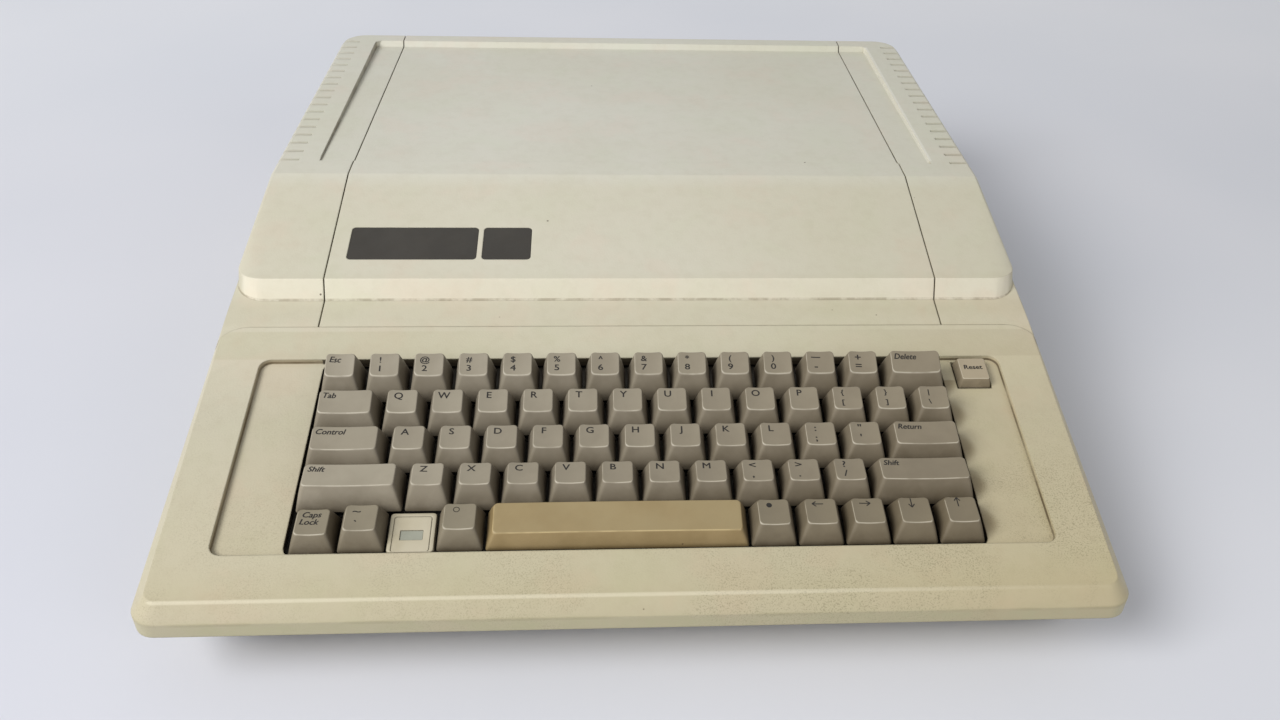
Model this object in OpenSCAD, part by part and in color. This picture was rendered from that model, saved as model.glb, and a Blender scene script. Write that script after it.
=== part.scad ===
// Vintage home computer: a wedge-shaped desktop case with a built-in keyboard, a lift-off lid over
// the card bay, and a power supply beside the logic board.
// Every shape is first laid out with y running from the front lip, and z from the table.

/* [Case] */
// Width at the widest line of the case
case_w = 386; // [380:1:396]
// Depth from the front lip to the back wall
case_d = 457; // [450:1:470]
// Height of the back edge of the top
case_h = 114; // [110:0.5:120]
// Wall of the moulded case and lid
wall = 3; // [2.5:0.25:3.5]
// Height of the widest line above the table
belt_z = 38.5; // [36:0.5:40]
// Height of the lower edge of the top case
rim_z = 31.5; // [29:0.5:33]
// How far the band under the widest line tucks in
rim_tuck = 0.8; // [0:0.2:3]
// Lean of the side walls, in mm of width per mm of height
side_draft = 0.1; // [0.06:0.01:0.12]
// Lean of the back wall over its height
back_lean = 5; // [2:0.5:8]
// Corner radius of the back of the case in plan
case_r = 15; // [10:1:20]
// Corner radius of the front at the widest line
front_r = 11; // [8:1:15]
// Corner radius of the front at the lower edge
rim_r = 9; // [6:1:12]

/* [Keyboard slab] */
// Tilt of the keyboard slab
slab_tilt = 13.5; // [12:0.25:15]
// Height of the slab's front top edge
slab_front_z = 46; // [44:0.5:48]
// Setback of the slab's front top edge
slab_front_y = 4.5; // [3:0.5:6]
// Plan depth at which the slab ends and the apron starts
slab_end_y = 142; // [140:0.5:146]
// Sideways inset of the slab's top edge at the front
slab_edge_in = 6.5; // [4:0.5:8]
// Radius of the slab's front corners at the top edge
slab_front_r = 5.5; // [4.5:0.5:12]
// Radius of the slab's back corners
slab_back_r = 13; // [8:1:16]
// Step down from the slab to the apron
apron_step = 1.2; // [0.4:0.1:1.5]

/* [Hump] */
// Plan depth of the foot of the bevel
bevel_y = 160; // [157:0.5:163]
// Height of the bevel
bevel_rise = 8.5; // [6:0.5:10]
// Setback of the bevel over its height
bevel_run = 4; // [2:0.5:6]
// Corner radius at the foot of the bevel
bevel_r = 15; // [10:1:18]
// Plan depth of the crease where the slope meets the top
crease_y = 239; // [230:1:248]
// Height of the crease below the back edge
crease_drop = 3; // [2:0.5:4]
// Rounding of the top's long edges
top_edge = 2; // [1:0.25:3]
// Half width of the sunken top
sunk_half = 163.5; // [160:0.5:166]
// Front of the sunken top
sunk_front_y = 257; // [252:1:262]
// Back rim of the sunken top, front to back
back_rim = 14; // [10:1:18]
// Depth of the sunken top under the back edge
sunk_drop = 3.8; // [3.2:0.2:4.5]
// Ramp at the front of the sunken top
sunk_ramp = 5; // [2:0.5:8]

/* [Lid] */
// Half width of the lid opening
lid_half = 146; // [140:0.5:150]
// Gap around the lid
lid_gap = 0.6; // [0.4:0.1:1]
// Height of the lid's back flange
lid_flange = 17; // [12:1:20]
// Width of each lid catch
catch_w = 16; // [10:1:24]
// Height of the foot of each lid catch
catch_h = 10; // [8:0.5:12]
// Distance of each lid catch from the middle
catch_x = 118; // [90:1:130]

/* [Badge plates] */
// Height of both plates along the slope
badge_h = 22.6; // [18:0.1:28]
// Width of the wide plate
badge_w = 61.3; // [50:0.1:70]
// Width of the square plate
badge_small_w = 23.2; // [18:0.1:28]
// Left edge of the wide plate
badge_x = -137.3; // [-142:0.1:-130]
// Gap between the plates
badge_split = 2.8; // [1.5:0.1:4]
// Distance of the plates' lower edge from the top of the bevel, along the slope
badge_up = 13.2; // [8:0.1:18]
// Thickness of the plates
badge_t = 0.9; // [0.6:0.1:1.2]
// Corner radius of the plates
badge_r = 2; // [1:0.5:3]

/* [Vents] */
// Vent slots on each side
vent_count = 18; // [10:1:20]
// Pitch of the vent slots
vent_pitch = 10.7; // [8:0.1:10.9]
// Width of a vent slot
vent_w = 2.4; // [1.5:0.1:3]
// Distance of the slots' inner ends from the widest line
vent_x = 19; // [16:0.5:23]
// Depth of the slots down the side wall
vent_down = 11; // [6:0.5:14]
// Last slot, from the back
vent_y = 19.6; // [17:0.1:25]

/* [Keyboard opening] */
// Half width of the sunken keyboard field
field_half = 167.2; // [164:0.2:170]
// Front of the keyboard field, in plan
field_y = 23.8; // [22:0.2:25]
// Length of the keyboard field up the slope
field_len = 101.5; // [99:0.5:103]
// Depth of the keyboard field
field_drop = 2.5; // [1.5:0.1:3]
// Corner radius of the keyboard field
field_r = 5; // [2:0.5:8]
// Gap between the keys and the sides of the well
well_gap = 1.6; // [1:0.1:2.5]

/* [Keys] */
// Key pitch
pitch = 19.05; // [18.5:0.05:19.05]
// Gap between neighbouring keycaps
key_gap = 0.9; // [0.6:0.1:1.4]
// Height of the number row's tops above the slab, at their front edge
numbers_front_h = 9.9; // [8:0.1:11]
// Height of the number row's tops at their back edge
numbers_back_h = 13; // [10:0.1:14]
// Height of the upper row's tops at their front edge
upper_front_h = 8.8; // [8:0.1:11]
// Height of the upper row's tops at their back edge
upper_back_h = 10.4; // [9:0.1:12]
// Height of the home row's tops at their front edge
home_front_h = 8.7; // [8:0.1:11]
// Height of the home row's tops at their back edge
home_back_h = 9.2; // [8:0.1:12]
// Height of the lower row's tops at their front edge
lower_front_h = 9.5; // [8:0.1:11]
// Height of the lower row's tops at their back edge
lower_back_h = 8.6; // [8:0.1:11]
// Height of the front row's tops at their front edge
bottom_front_h = 7.8; // [5:0.1:9]
// Height of the front row's tops at their back edge
bottom_back_h = 7; // [6:0.1:9]
// Height of the space bar's top at its front edge
space_front_h = 5.7; // [5:0.1:8]
// Depth of a cap's skirt below the slab
cap_skirt = 1.5; // [0.5:0.1:1.7]
// Sideways inset of a cap's top
cap_side_in = 2.9; // [2:0.1:3.5]
// Lean of a cap's front face, in mm of inset per mm of height
cap_front_lean = 0.456; // [0.3:0.002:0.5]
// Lean of a cap's back face, in mm of inset per mm of height
cap_back_lean = 0.168; // [0.1:0.002:0.2]
// Wall of a keycap
cap_wall = 1.3; // [1:0.1:1.5]
// Travel of a key
key_travel = 3.8; // [3:0.1:4]
// How far the latched Caps Lock key sits below the others
caps_latch = 2.5; // [1:0.1:3]
// Square stem under a keycap
stem_w = 3.6; // [3:0.1:4.2]
// Play of the stem in its switch
stem_play = 0.3; // [0.2:0.05:0.4]

/* [Reset key] */
// Middle of the Reset key across the case
reset_x = 153.2; // [151:0.2:155]
// Distance of the Reset keycap from the back of the keyboard field
reset_back = 2.4; // [1.6:0.1:4]
// Width of the Reset keycap
reset_w = 14.8; // [14:0.2:16]
// Height of the Reset keycap's front edge above the slab
reset_front_h = 2.2; // [1.8:0.1:4]
// Height of the Reset keycap's back edge above the slab
reset_back_h = 2.3; // [1.8:0.1:4]
// Skirt of the Reset keycap below the slab
reset_skirt = 3.1; // [2:0.1:3.1]
// Inset of the Reset keycap's top
reset_in = 1.2; // [1:0.1:2]
// Clearance of the Reset keycap in its pocket
reset_play = 0.6; // [0.4:0.1:1.2]
// Travel of the Reset key
reset_travel = 1.6; // [1:0.1:1.6]

/* [Lamp plate] */
// Height of the lamp plate above the slab
lamp_h = 0; // [-0.5:0.1:1]
// Gap between the lamp plate and the front of the keyboard field
lamp_gap = 0.2; // [0.1:0.1:0.8]
// Width of the lamp window
lamp_w = 9; // [7:0.2:11]
// Length of the lamp window up the slope
lamp_len = 4.6; // [3.5:0.1:6]
// Distance of the lamp window from the plate's front edge
lamp_front = 5.5; // [3:0.1:7]

/* [Keyboard structure] */
// Depth of the frame plate's top below the slab
plate_drop = 7.5; // [7.4:0.1:8]
// Thickness of the frame plate
plate_t = 1.5; // [1:0.1:2]
// Side of a switch housing
switch_w = 13.8; // [13:0.1:14.2]
// Height of a switch housing above the frame plate
switch_up = 2.5; // [2:0.1:2.6]
// Depth of a switch housing under the frame plate's top
switch_down = 4.9; // [4.5:0.1:5.5]
// Thickness of the keyboard's circuit board
key_board_t = 1.6; // [1.2:0.1:2]

/* [Base] */
// Height of the rubber feet
foot_h = 5; // [4:0.5:6]
// Radius of the rubber feet
foot_r = 9.5; // [7:0.5:11]
// Inset of the feet from the sides and the back
foot_in = 33; // [28:1:40]
// Thickness of the base floor and walls
base_t = 2.5; // [2:0.25:3]
// Inset of the base's side and back walls from the widest line
base_in = 10; // [9:0.5:12]
// Distance of the base's front wall from the front lip
base_front = 28; // [26:1:32]
// Inset of the base flange from the widest line
flange_in = 3.5; // [2.5:0.25:4]
// Height of the slot left for the rear panel above the table
panel_sill = 16; // [14:0.5:18]

/* [Fasteners] */
// Radius of a case screw's shank
screw_r = 1.65; // [1.4:0.05:1.8]
// Radius of a case screw's head
head_r = 3.5; // [3:0.1:4]
// Height of a case screw's head
head_h = 2.4; // [2:0.1:3]
// Length of a case screw's shank
screw_len = 20; // [16:1:24]
// Radius of the screw posts
post_r = 5; // [4:0.25:5.5]

/* [Rear panel] */
// Half width of the opening in the back
back_half = 165; // [160:0.5:168]
// Thickness of the rear panel
panel_t = 1.5; // [1:0.1:2]
// Port cutouts in a row
port_count = 5; // [3:1:5]
// Pitch of the port cutouts
port_pitch = 43; // [41:0.5:45]
// Width of a port cutout
port_w = 36; // [28:0.5:38]
// Height of a port cutout
port_h = 12; // [9:0.5:14]

/* [Power supply] */
// Width of the power supply
psu_w = 88; // [80:1:92]
// Length of the power supply
psu_len = 240; // [220:1:245]
// Height of the power supply
psu_h = 61; // [55:1:66]
// Sheet of the power supply case
psu_t = 1.2; // [1:0.1:1.6]
// Gap between the power supply and the logic board
psu_gap = 1; // [0.5:0.5:3]
// Share of the width left over in the base that lies outside the power supply
psu_side = 0.4375; // [0.3:0.0625:0.5]

/* [Mains inlet and switch] */
// Width of the mains inlet's body
inlet_w = 27; // [25:0.5:30]
// Height of the mains inlet's body
inlet_h = 20; // [18:0.5:22]
// Depth of the mains inlet's socket
inlet_depth = 16; // [14:0.5:18]
// Height of the rocker
rocker_h = 21; // [18:0.5:24]
// Width of the rocker
rocker_w = 12; // [10:0.5:14]
// Tilt of the rocker to either side
rocker_tilt = 8; // [5:0.5:10]
// Radius of the rocker's pivot
rocker_pin_r = 1.5; // [1.2:0.1:2]

/* [Logic board] */
// Width of the logic board
board_w = 232; // [225:1:236]
// Depth of the logic board
board_d = 238; // [230:1:242]
// Thickness of the logic board
board_t = 1.6; // [1.2:0.1:2]
// Height of the posts under the logic board
board_lift = 8.5; // [7:0.5:10]
// Expansion slots beside each other
slot_count = 7; // [3:1:7]
// Pitch of the expansion slots
slot_pitch = 20.3; // [18:0.1:22]
// Length of an expansion slot
slot_len = 86; // [80:1:90]
// Width of an expansion slot
slot_w = 8.6; // [7:0.2:10]
// Height of an expansion slot
slot_h = 14.5; // [12:0.5:16]
// Radius of the loudspeaker
speaker_r = 28; // [22:1:32]
// Width of the keyboard's ribbon lead
lead_w = 26; // [20:1:34]

/* [Hidden] */
$fn = 48;
eps = 0.01;
over = 1;
corner_steps = 8;
post_fn = 12;
case_half = case_w / 2;
far = 40;
slab_z0 = slab_front_z - slab_front_y * tan(slab_tilt);
slab_end_v = slab_end_y / cos(slab_tilt);
slab_top_end_y = bevel_y + bevel_r;
bevel_z = slab_z0 + bevel_y * tan(slab_tilt);
slab_end_z = slab_z0 + slab_top_end_y * tan(slab_tilt);
bevel_top_y = bevel_y + bevel_run;
bevel_top_in = 2;
bevel_top_r = bevel_r - bevel_top_in;
bevel_top_z = bevel_z + bevel_rise;
crease_z = case_h - crease_drop;
top_back_y = case_d - back_lean;
top_lean = atan((case_h - crease_z) / (top_back_y - crease_y));
slope_tilt = atan((crease_z - bevel_top_z) / (crease_y - bevel_top_y));
sunk_z = case_h - sunk_drop;
sunk_back_y = top_back_y - back_rim;
sunk_back_ramp = 2.5;
sunk_back_r = 6;
under_z = sunk_z - wall;
lid_rear_z = case_h - lid_flange;
back_top_z = lid_rear_z - lid_gap;
panel_y = case_d - base_in;
inner_back_y = panel_y - base_t;
floor_z = foot_h + base_t;
base_half = case_half - base_in;
base_top_gap = 0.1;
base_top_z = rim_z - base_top_gap;
flange_t = 2.5;
board_z = floor_z + board_lift;
board_back_gap = 0.5;
psu_back_gap = 0.2;
board_back_y = inner_back_y - board_back_gap;
psu_back_y = inner_back_y - psu_back_gap;
spare_w = 2 * (base_half - base_t) - psu_w - psu_gap - board_w;
psu_x = base_half - base_t - spare_w * psu_side;
board_x = -psu_x + psu_w + psu_gap + board_w / 2;
lid_seat = 0.2;
shelf_lap = 5;
shelf_len = 14;
shelf_in = 10;
badge_sink = 1;
badge_play = 0.15;

// Keyboard layout: rows from the back to the front, each key as [node, width in key units]
ROWS = [
    [["key_esc", 1], ["key_1", 1], ["key_2", 1], ["key_3", 1], ["key_4", 1], ["key_5", 1],
     ["key_6", 1], ["key_7", 1], ["key_8", 1], ["key_9", 1], ["key_0", 1], ["key_minus", 1],
     ["key_equals", 1], ["key_delete", 1.5]],
    concat([["key_tab", 1.5]], [for (i = [1:10]) ["keys_upper_letters", 1]],
     [for (i = [1:2]) ["keys_brackets", 1]], [["key_backslash", 1]]),
    concat([["key_control", 1.75]], [for (i = [1:9]) ["keys_home_letters", 1]],
     [for (i = [1:2]) ["keys_semicolon_quote", 1]], [["key_return", 1.75]]),
    concat([["key_left_shift", 2.25]], [for (i = [1:7]) ["keys_lower_letters", 1]],
     [for (i = [1:2]) ["keys_comma_period", 1]], [["key_slash", 1], ["key_right_shift", 2.25]]),
    [["key_caps_lock", 1], ["key_grave", 1], ["lamp_plate", 1], ["key_left_command", 1],
     ["key_space", 5.5], ["key_right_command", 1], ["key_arrow_left", 1],
     ["key_arrow_right", 1], ["key_arrow_down", 1], ["key_arrow_up", 1]]
];
KEY_NODES = concat(
    [for (k = ROWS[0]) k[0]],
    ["key_tab", "keys_upper_letters", "keys_brackets", "key_backslash"],
    ["key_control", "keys_home_letters", "keys_semicolon_quote", "key_return"],
    ["key_left_shift", "keys_lower_letters", "keys_comma_period", "key_slash", "key_right_shift"],
    [for (k = ROWS[4]) if (k[0] != "lamp_plate") k[0]],
    ["key_reset"]);

function row_units(row, n) = n == 0 ? 0 : row_units(row, n - 1) + row[n - 1][1];
units_wide = row_units(ROWS[0], len(ROWS[0]));

// Heights of the tops' front and back edges, row by row
ROW_TOPS = [[numbers_front_h, numbers_back_h], [upper_front_h, upper_back_h],
    [home_front_h, home_back_h], [lower_front_h, lower_back_h], [bottom_front_h, bottom_back_h]];
block_w = units_wide * pitch;
well_half = block_w / 2 + well_gap;
field_v = field_y / cos(slab_tilt);
rows_gap = 0.7;
rows_v = field_v + rows_gap;
field_mid = field_v + field_len / 2;
tray_t = 2.8;
function key_x(r, i) = -block_w / 2 + (row_units(ROWS[r], i) + ROWS[r][i][1] / 2) * pitch;
function key_v(r) = rows_v + (len(ROWS) - 1 - r + 0.5) * pitch;
reset_v = field_v + field_len - reset_back - reset_w / 2;
reset_pocket = reset_w + 2 * reset_play;
function side_x(z) = case_half - side_draft * (z - belt_z);
function back_y(z) = case_d - back_lean * (z - belt_z) / (case_h - belt_z);
switch_hole = stem_w + 2 * stem_play;
key_board_drop = plate_drop + switch_down;
screw_in = 18.2;
front_screw_in = 21;
screw_end_in = 32;
crease_screw_in = 5;
post_points = [[case_half - front_screw_in, base_front + screw_end_in],
    [case_half - screw_in, crease_y - crease_screw_in],
    [case_half - screw_in, case_d - screw_end_in]];
boss_h = 4.8;
boss_r = 6.8;
boss_gap = 0.2;
screw_seat = 4;
pilot_play = 0.15;
post_low_z = floor_z + boss_h + boss_gap;
screw_seat_z = foot_h + screw_seat;
pilot_r = screw_r + pilot_play;
board_post_r = 4;
frame_half = 163.5;
frame_post_x = 153;
frame_post_r = 3.6;
frame_post_h = 4.6;
frame_posts = [for (p = [[-1, 45], [-1, 85], [-1, 118], [1, 45], [1, 85]]) [p[0] * frame_post_x, p[1]]];
frame_back_x = 70;
frame_back_in = 4.5;
frame_back_posts = [for (s = [-1, 1]) [s * frame_back_x, field_v + field_len + frame_back_in]];
foot_front_in = 4;
foot_points = [for (s = [-1, 1], y = [base_front + foot_r + foot_front_in, case_d - foot_in])
    [s * (case_half - foot_in), y]];
switch_floor = 1;
stem_rest = 0.3;

case_tone = [0.78, 0.75, 0.62];
key_tone = [0.50, 0.47, 0.42];
space_tone = [0.62, 0.54, 0.38];
lamp_tone = [0.86, 0.82, 0.68];
lens_tone = [0.72, 0.72, 0.66];
base_tone = [0.60, 0.57, 0.48];
metal_tone = [0.72, 0.72, 0.70];
dark_tone = [0.16, 0.15, 0.14];
black_tone = [0.10, 0.10, 0.10];
socket_tone = [0.20, 0.20, 0.20];
switch_tone = [0.20, 0.20, 0.22];
rubber_tone = [0.22, 0.22, 0.22];
cover_tone = [0.30, 0.29, 0.27];
lead_tone = [0.55, 0.55, 0.55];
board_tone = [0.17, 0.35, 0.21];
slot_tone = [0.12, 0.25, 0.20];

// --- frames and small helpers -------------------------------------------------------------

module from_front() {
    translate([0, -case_d / 2, 0]) children();
}

// x across, y up the keyboard slope, z square to it, with z = 0 on the slab
module on_slab() {
    translate([0, 0, slab_z0]) rotate([slab_tilt, 0, 0]) children();
}

// The same on the slope behind the bevel, from the top of the bevel
module on_slope() {
    translate([0, bevel_top_y, bevel_top_z]) rotate([slope_tilt, 0, 0]) children();
}

function corner(x, y, r, a) = r <= 0 ? [[x, y]] :
    [for (k = [0:corner_steps]) [x + r * cos(a + 90 * k / corner_steps),
        y + r * sin(a + 90 * k / corner_steps)]];

// A four-cornered outline, wider at the back or the front, with its own corner radii
function outline_points(half_front, half_back, y0, y1, r_front, r_back) = concat(
    corner(half_front - r_front, y0 + r_front, r_front, -90),
    corner(half_back - r_back, y1 - r_back, r_back, 0),
    corner(r_back - half_back, y1 - r_back, r_back, 90),
    corner(r_front - half_front, y0 + r_front, r_front, 180));

function ring(z, half, y0, y1, r_front, r_back) =
    [for (p = outline_points(half, half, y0, y1, r_front, r_back)) [p[0], p[1], z]];

// An outline laid on a plane that leans about the x axis through [y, z], and sunk below that plane
function leaning(points, angle, y, z, down) = [for (p = points) [p[0],
    y + p[1] * cos(angle) + down * sin(angle), z + p[1] * sin(angle) - down * cos(angle)]];

module outline(half_front, half_back, y0, y1, r_front, r_back) {
    polygon(outline_points(half_front, half_back, y0, y1, r_front, r_back));
}

// The convex solid round a set of points
module through(points) {
    hull() polyhedron(points, [[for (i = [0:len(points) - 1]) i]]);
}

module rounded(w, d, r) {
    outline(w / 2, w / 2, -d / 2, d / 2, r, r);
}

// A prism across the case from a side profile of [y, z] points
module across(half, points) {
    rotate([90, 0, 90]) translate([0, 0, -half]) linear_extrude(2 * half) polygon(points);
}

// A box from its middle in x, a start in y and a start in z
module bar(x, y, z, w, d, h) {
    translate([x - w / 2, y, z]) cube([w, d, h]);
}

module both_sides() {
    children();
    mirror([1, 0, 0]) children();
}

// --- case shells ----------------------------------------------------------------------------

// The keyboard wedge: its tilted top, the widest line and the tucked-in lower edge
module wedge_solid(t, z_low) {
    v0 = (slab_front_y + t) / cos(slab_tilt);
    v1 = slab_top_end_y / cos(slab_tilt);
    half0 = case_half - slab_edge_in - t;
    half1 = side_x(slab_end_z) - t;
    through(concat(
        leaning(outline_points(half0, half1, v0, v1, slab_front_r - t, 0), slab_tilt, 0, slab_z0, t),
        ring(belt_z, case_half - t, t, slab_top_end_y, front_r - t, 0),
        ring(z_low, case_half - rim_tuck - t, t + rim_tuck, slab_top_end_y, rim_r - t, 0)));
}

module slab_step() {
    on_slab() translate([0, 0, -apron_step]) linear_extrude(far) difference() {
        translate([-case_w, slab_end_v - slab_back_r]) square([2 * case_w, 3 * far]);
        outline(side_x(bevel_z) + over, side_x(bevel_z) + over, 0, slab_end_v, 0, slab_back_r);
    }
}

// The hump behind the bevel, with its leaning sides and the two levels of its rounded top edge
module hump_solid() {
    foot_z = bevel_z - apron_step;
    front_end = bevel_y + 2 * bevel_r;
    through(concat(
        ring(rim_z, case_half - rim_tuck, slab_top_end_y, case_d - rim_tuck, 0, case_r),
        ring(belt_z, case_half, slab_top_end_y, case_d, 0, case_r),
        ring(foot_z, side_x(foot_z), bevel_y, front_end, bevel_r, 0),
        ring(bevel_top_z, side_x(bevel_top_z), bevel_top_y, front_end, bevel_top_r, 0),
        hump_top(0, top_edge),
        hump_top(top_edge, 0)));
}

function hump_top(inset, drop) = leaning(
    outline_points(side_x(case_h) - inset, side_x(case_h) - inset, drop,
        (top_back_y - crease_y) / cos(top_lean) - inset, 0, case_r - inset),
    top_lean, crease_y, crease_z, drop);

module hump_cavity() {
    low_y = slab_top_end_y - wall;
    front_end = bevel_y + 2 * bevel_r;
    through(concat(
        ring(-eps, case_half - rim_tuck - wall, low_y, case_d - rim_tuck - wall, 0, case_r - wall),
        ring(belt_z, case_half - wall, low_y, case_d - wall, 0, case_r - wall),
        ring(bevel_z - wall, side_x(bevel_z) - wall, bevel_y + wall, front_end, bevel_r - wall, 0),
        ring(bevel_top_z - wall, side_x(bevel_top_z) - wall, bevel_top_y + wall, front_end,
            bevel_r - wall, 0),
        ring(under_z, side_x(under_z) - wall, crease_y + 2, back_y(under_z) - wall, 0,
            case_r - wall)));
}

// The outer skin of case and lid together, hollowed out
module case_skin() {
    difference() {
        union() {
            difference() {
                wedge_solid(0, rim_z);
                slab_step();
            }
            hump_solid();
        }
        wedge_solid(wall, -eps);
        hump_cavity();
        sunken_top();
    }
}

module sunken_top() {
    profile = [[sunk_front_y - sunk_ramp, crease_z + over], [sunk_front_y, sunk_z],
        [sunk_back_y, sunk_z], [sunk_back_y + sunk_back_ramp, case_h + over]];
    intersection() {
        across(sunk_half, profile);
        linear_extrude(case_h + far) outline(sunk_half, sunk_half, sunk_front_y - 2 * sunk_ramp,
            sunk_back_y + sunk_back_ramp, 0, sunk_back_r);
    }
}

module vents() {
    for (i = [0:vent_count - 1]) {
        y = case_d - vent_y - i * vent_pitch - vent_w / 2;
        both_sides() translate([case_half - vent_x, y, case_h - crease_drop - vent_down])
            cube([far, vent_w, far]);
    }
}

module field_cut(half, drop) {
    on_slab() translate([0, field_mid, -drop]) linear_extrude(far)
        rounded(2 * half, field_len, field_r);
}

// The tray that carries the sunken field under the slab, its posts for the frame plate, and the
// shelf for the lid's front edge
module keyboard_tray() {
    under = 2 * wall + lid_seat;
    width = 2 * (lid_half - shelf_in);
    web_len = shelf_lap - 0.5;
    on_slab() {
        translate([0, field_mid, -field_drop - tray_t]) linear_extrude(tray_t + eps)
            rounded(2 * field_half + 2 * wall, field_len + 2 * wall, field_r);
        for (p = frame_posts) translate([p[0], p[1], -plate_drop]) post(frame_post_h);
        for (p = frame_back_posts) translate([p[0], p[1], -plate_drop]) post(frame_post_h + over);
        bar(0, slab_end_v - shelf_lap, -under, width, shelf_len, wall);
        bar(0, slab_end_v - shelf_lap, -under, width, web_len, under - wall + over);
    }
}

module post(h) {
    cylinder(h = h, r = frame_post_r, $fn = post_fn);
}

module case_posts() {
    intersection() {
        at_screws() translate([0, 0, post_low_z]) cylinder(h = case_h, r = post_r, $fn = post_fn);
        union() {
            wedge_solid(wall / 2, rim_z - 2 * far);
            hump_post_limit();
        }
    }
}

module hump_post_limit() {
    across(case_half - wall, [[bevel_y + far / 2, 0], [bevel_y + far / 2, bevel_top_z],
        [crease_y + wall, under_z + over], [case_d - 2 * wall, under_z + over],
        [case_d - 2 * wall, 0]]);
}

module pilot_holes() {
    at_screws() translate([0, 0, floor_z]) cylinder(h = screw_len + wall, r = pilot_r, $fn = post_fn);
}

module top_case() {
    color(case_tone) from_front() difference() {
        union() {
            case_skin();
            keyboard_tray();
            case_posts();
        }
        field_cut(field_half, field_drop);
        field_cut(well_half, far);
        on_slab() bar(reset_x, reset_v - reset_pocket / 2, -far, reset_pocket, reset_pocket, far);
        lid_opening();
        bar(0, case_d - far / 2, -far, 2 * back_half, far, back_top_z + far);
        vents();
        pilot_holes();
    }
}

module lid_opening() {
    difference() {
        bar(0, slab_end_y, bevel_z - far, 2 * lid_half, case_d, 2 * far + case_h);
        on_slab() bar(0, slab_end_v - shelf_lap - over, -far, 2 * lid_half,
            shelf_lap + shelf_len + over, far - wall - lid_seat + eps);
    }
}

module lid() {
    front_y = slab_end_y + lid_gap;
    half = lid_half - lid_gap;
    back_in = 12;
    color(case_tone) from_front() difference() {
        intersection() {
            case_skin();
            union() {
                bar(0, front_y, bevel_z - far / 2, 2 * half, case_d - front_y - back_in, case_h);
                bar(0, front_y + far, lid_rear_z, 2 * half, case_d, case_h);
            }
        }
        on_slope() badge_outlines(badge_play, far);
    }
}

module badge_outlines(play, h) {
    for (b = [[badge_x, badge_w], [badge_x + badge_w + badge_split, badge_small_w]])
        translate([b[0] + b[1] / 2, badge_up + badge_h / 2, -badge_sink]) linear_extrude(h)
            rounded(b[1] + 2 * play, badge_h + 2 * play, badge_r);
}

module badge_plates() {
    color(dark_tone) from_front() on_slope() badge_outlines(0, badge_t);
}

module lid_catches() {
    base_z = back_top_z - lid_gap;
    back = panel_y - panel_t;
    depth = 14;
    tongue_w = catch_w - 6;
    tongue_d = 8;
    tongue_in = 4;
    play = 0.2;
    color(dark_tone) from_front() both_sides() {
        bar(catch_x, back - depth, base_z - catch_h, catch_w, depth, catch_h);
        bar(catch_x, back - tongue_in - tongue_d, base_z - eps, tongue_w, tongue_d,
            under_z - base_z - play);
    }
}

// --- keyboard -------------------------------------------------------------------------------

// A closed frustum whose top is smaller than its foot and may lean
module frustum(half_w, v0, v1, w0, side_in, front_in, back_in, w_front, w_back) {
    polyhedron(
        points = [
            [-half_w, v0, w0], [half_w, v0, w0], [half_w, v1, w0], [-half_w, v1, w0],
            [-half_w + side_in, v0 + front_in, w_front], [half_w - side_in, v0 + front_in, w_front],
            [half_w - side_in, v1 - back_in, w_back], [-half_w + side_in, v1 - back_in, w_back]],
        faces = [[0, 1, 2, 3], [7, 6, 5, 4], [0, 4, 5, 1], [1, 5, 6, 2], [2, 6, 7, 3], [3, 7, 4, 0]]);
}

// A hollow keycap with its stem
module cap_shell(w, d, skirt, side_in, front_in, back_in, h_front, h_back, travel) {
    stem_low = switch_floor + stem_rest + travel - plate_drop - switch_down;
    difference() {
        frustum(w / 2, -d / 2, d / 2, -skirt, side_in, front_in, back_in, h_front, h_back);
        difference() {
            frustum(w / 2 - cap_wall, -d / 2 + cap_wall, d / 2 - cap_wall, -skirt - eps, side_in,
                front_in, back_in, h_front - cap_wall, h_back - cap_wall);
            bar(0, -stem_w / 2, -far, stem_w, stem_w, 2 * far);
        }
    }
    bar(0, -stem_w / 2, stem_low, stem_w, stem_w, -stem_low);
}

module key_at(r, i) {
    name = ROWS[r][i][0];
    w = ROWS[r][i][1] * pitch - key_gap;
    drop = name == "key_caps_lock" ? caps_latch : 0;
    front_h = name == "key_space" ? space_front_h : ROW_TOPS[r][0];
    back_h = ROW_TOPS[r][1];
    on_slab() translate([key_x(r, i), key_v(r), -drop])
        cap_shell(w, pitch - key_gap, cap_skirt, cap_side_in, (front_h + cap_skirt) * cap_front_lean,
            (back_h + cap_skirt) * cap_back_lean, front_h, back_h, key_travel);
}

module keys_named(name) {
    tone = name == "key_space" ? space_tone : key_tone;
    color(tone) from_front() {
        for (r = [0:len(ROWS) - 1])
            for (i = [0:len(ROWS[r]) - 1])
                if (ROWS[r][i][0] == name) key_at(r, i);
        if (name == "key_reset")
            on_slab() translate([reset_x, reset_v, 0])
                cap_shell(reset_w, reset_w, reset_skirt, reset_in, reset_in, reset_in,
                    reset_front_h, reset_back_h, reset_travel);
    }
}

// Places its children at every switch: all keys of the rows, and Reset
module at_switches() {
    on_slab() {
        for (r = [0:len(ROWS) - 1])
            for (i = [0:len(ROWS[r]) - 1])
                if (ROWS[r][i][0] != "lamp_plate")
                    translate([key_x(r, i), key_v(r), -plate_drop]) children();
        translate([reset_x, reset_v, -plate_drop]) children();
    }
}

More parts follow.
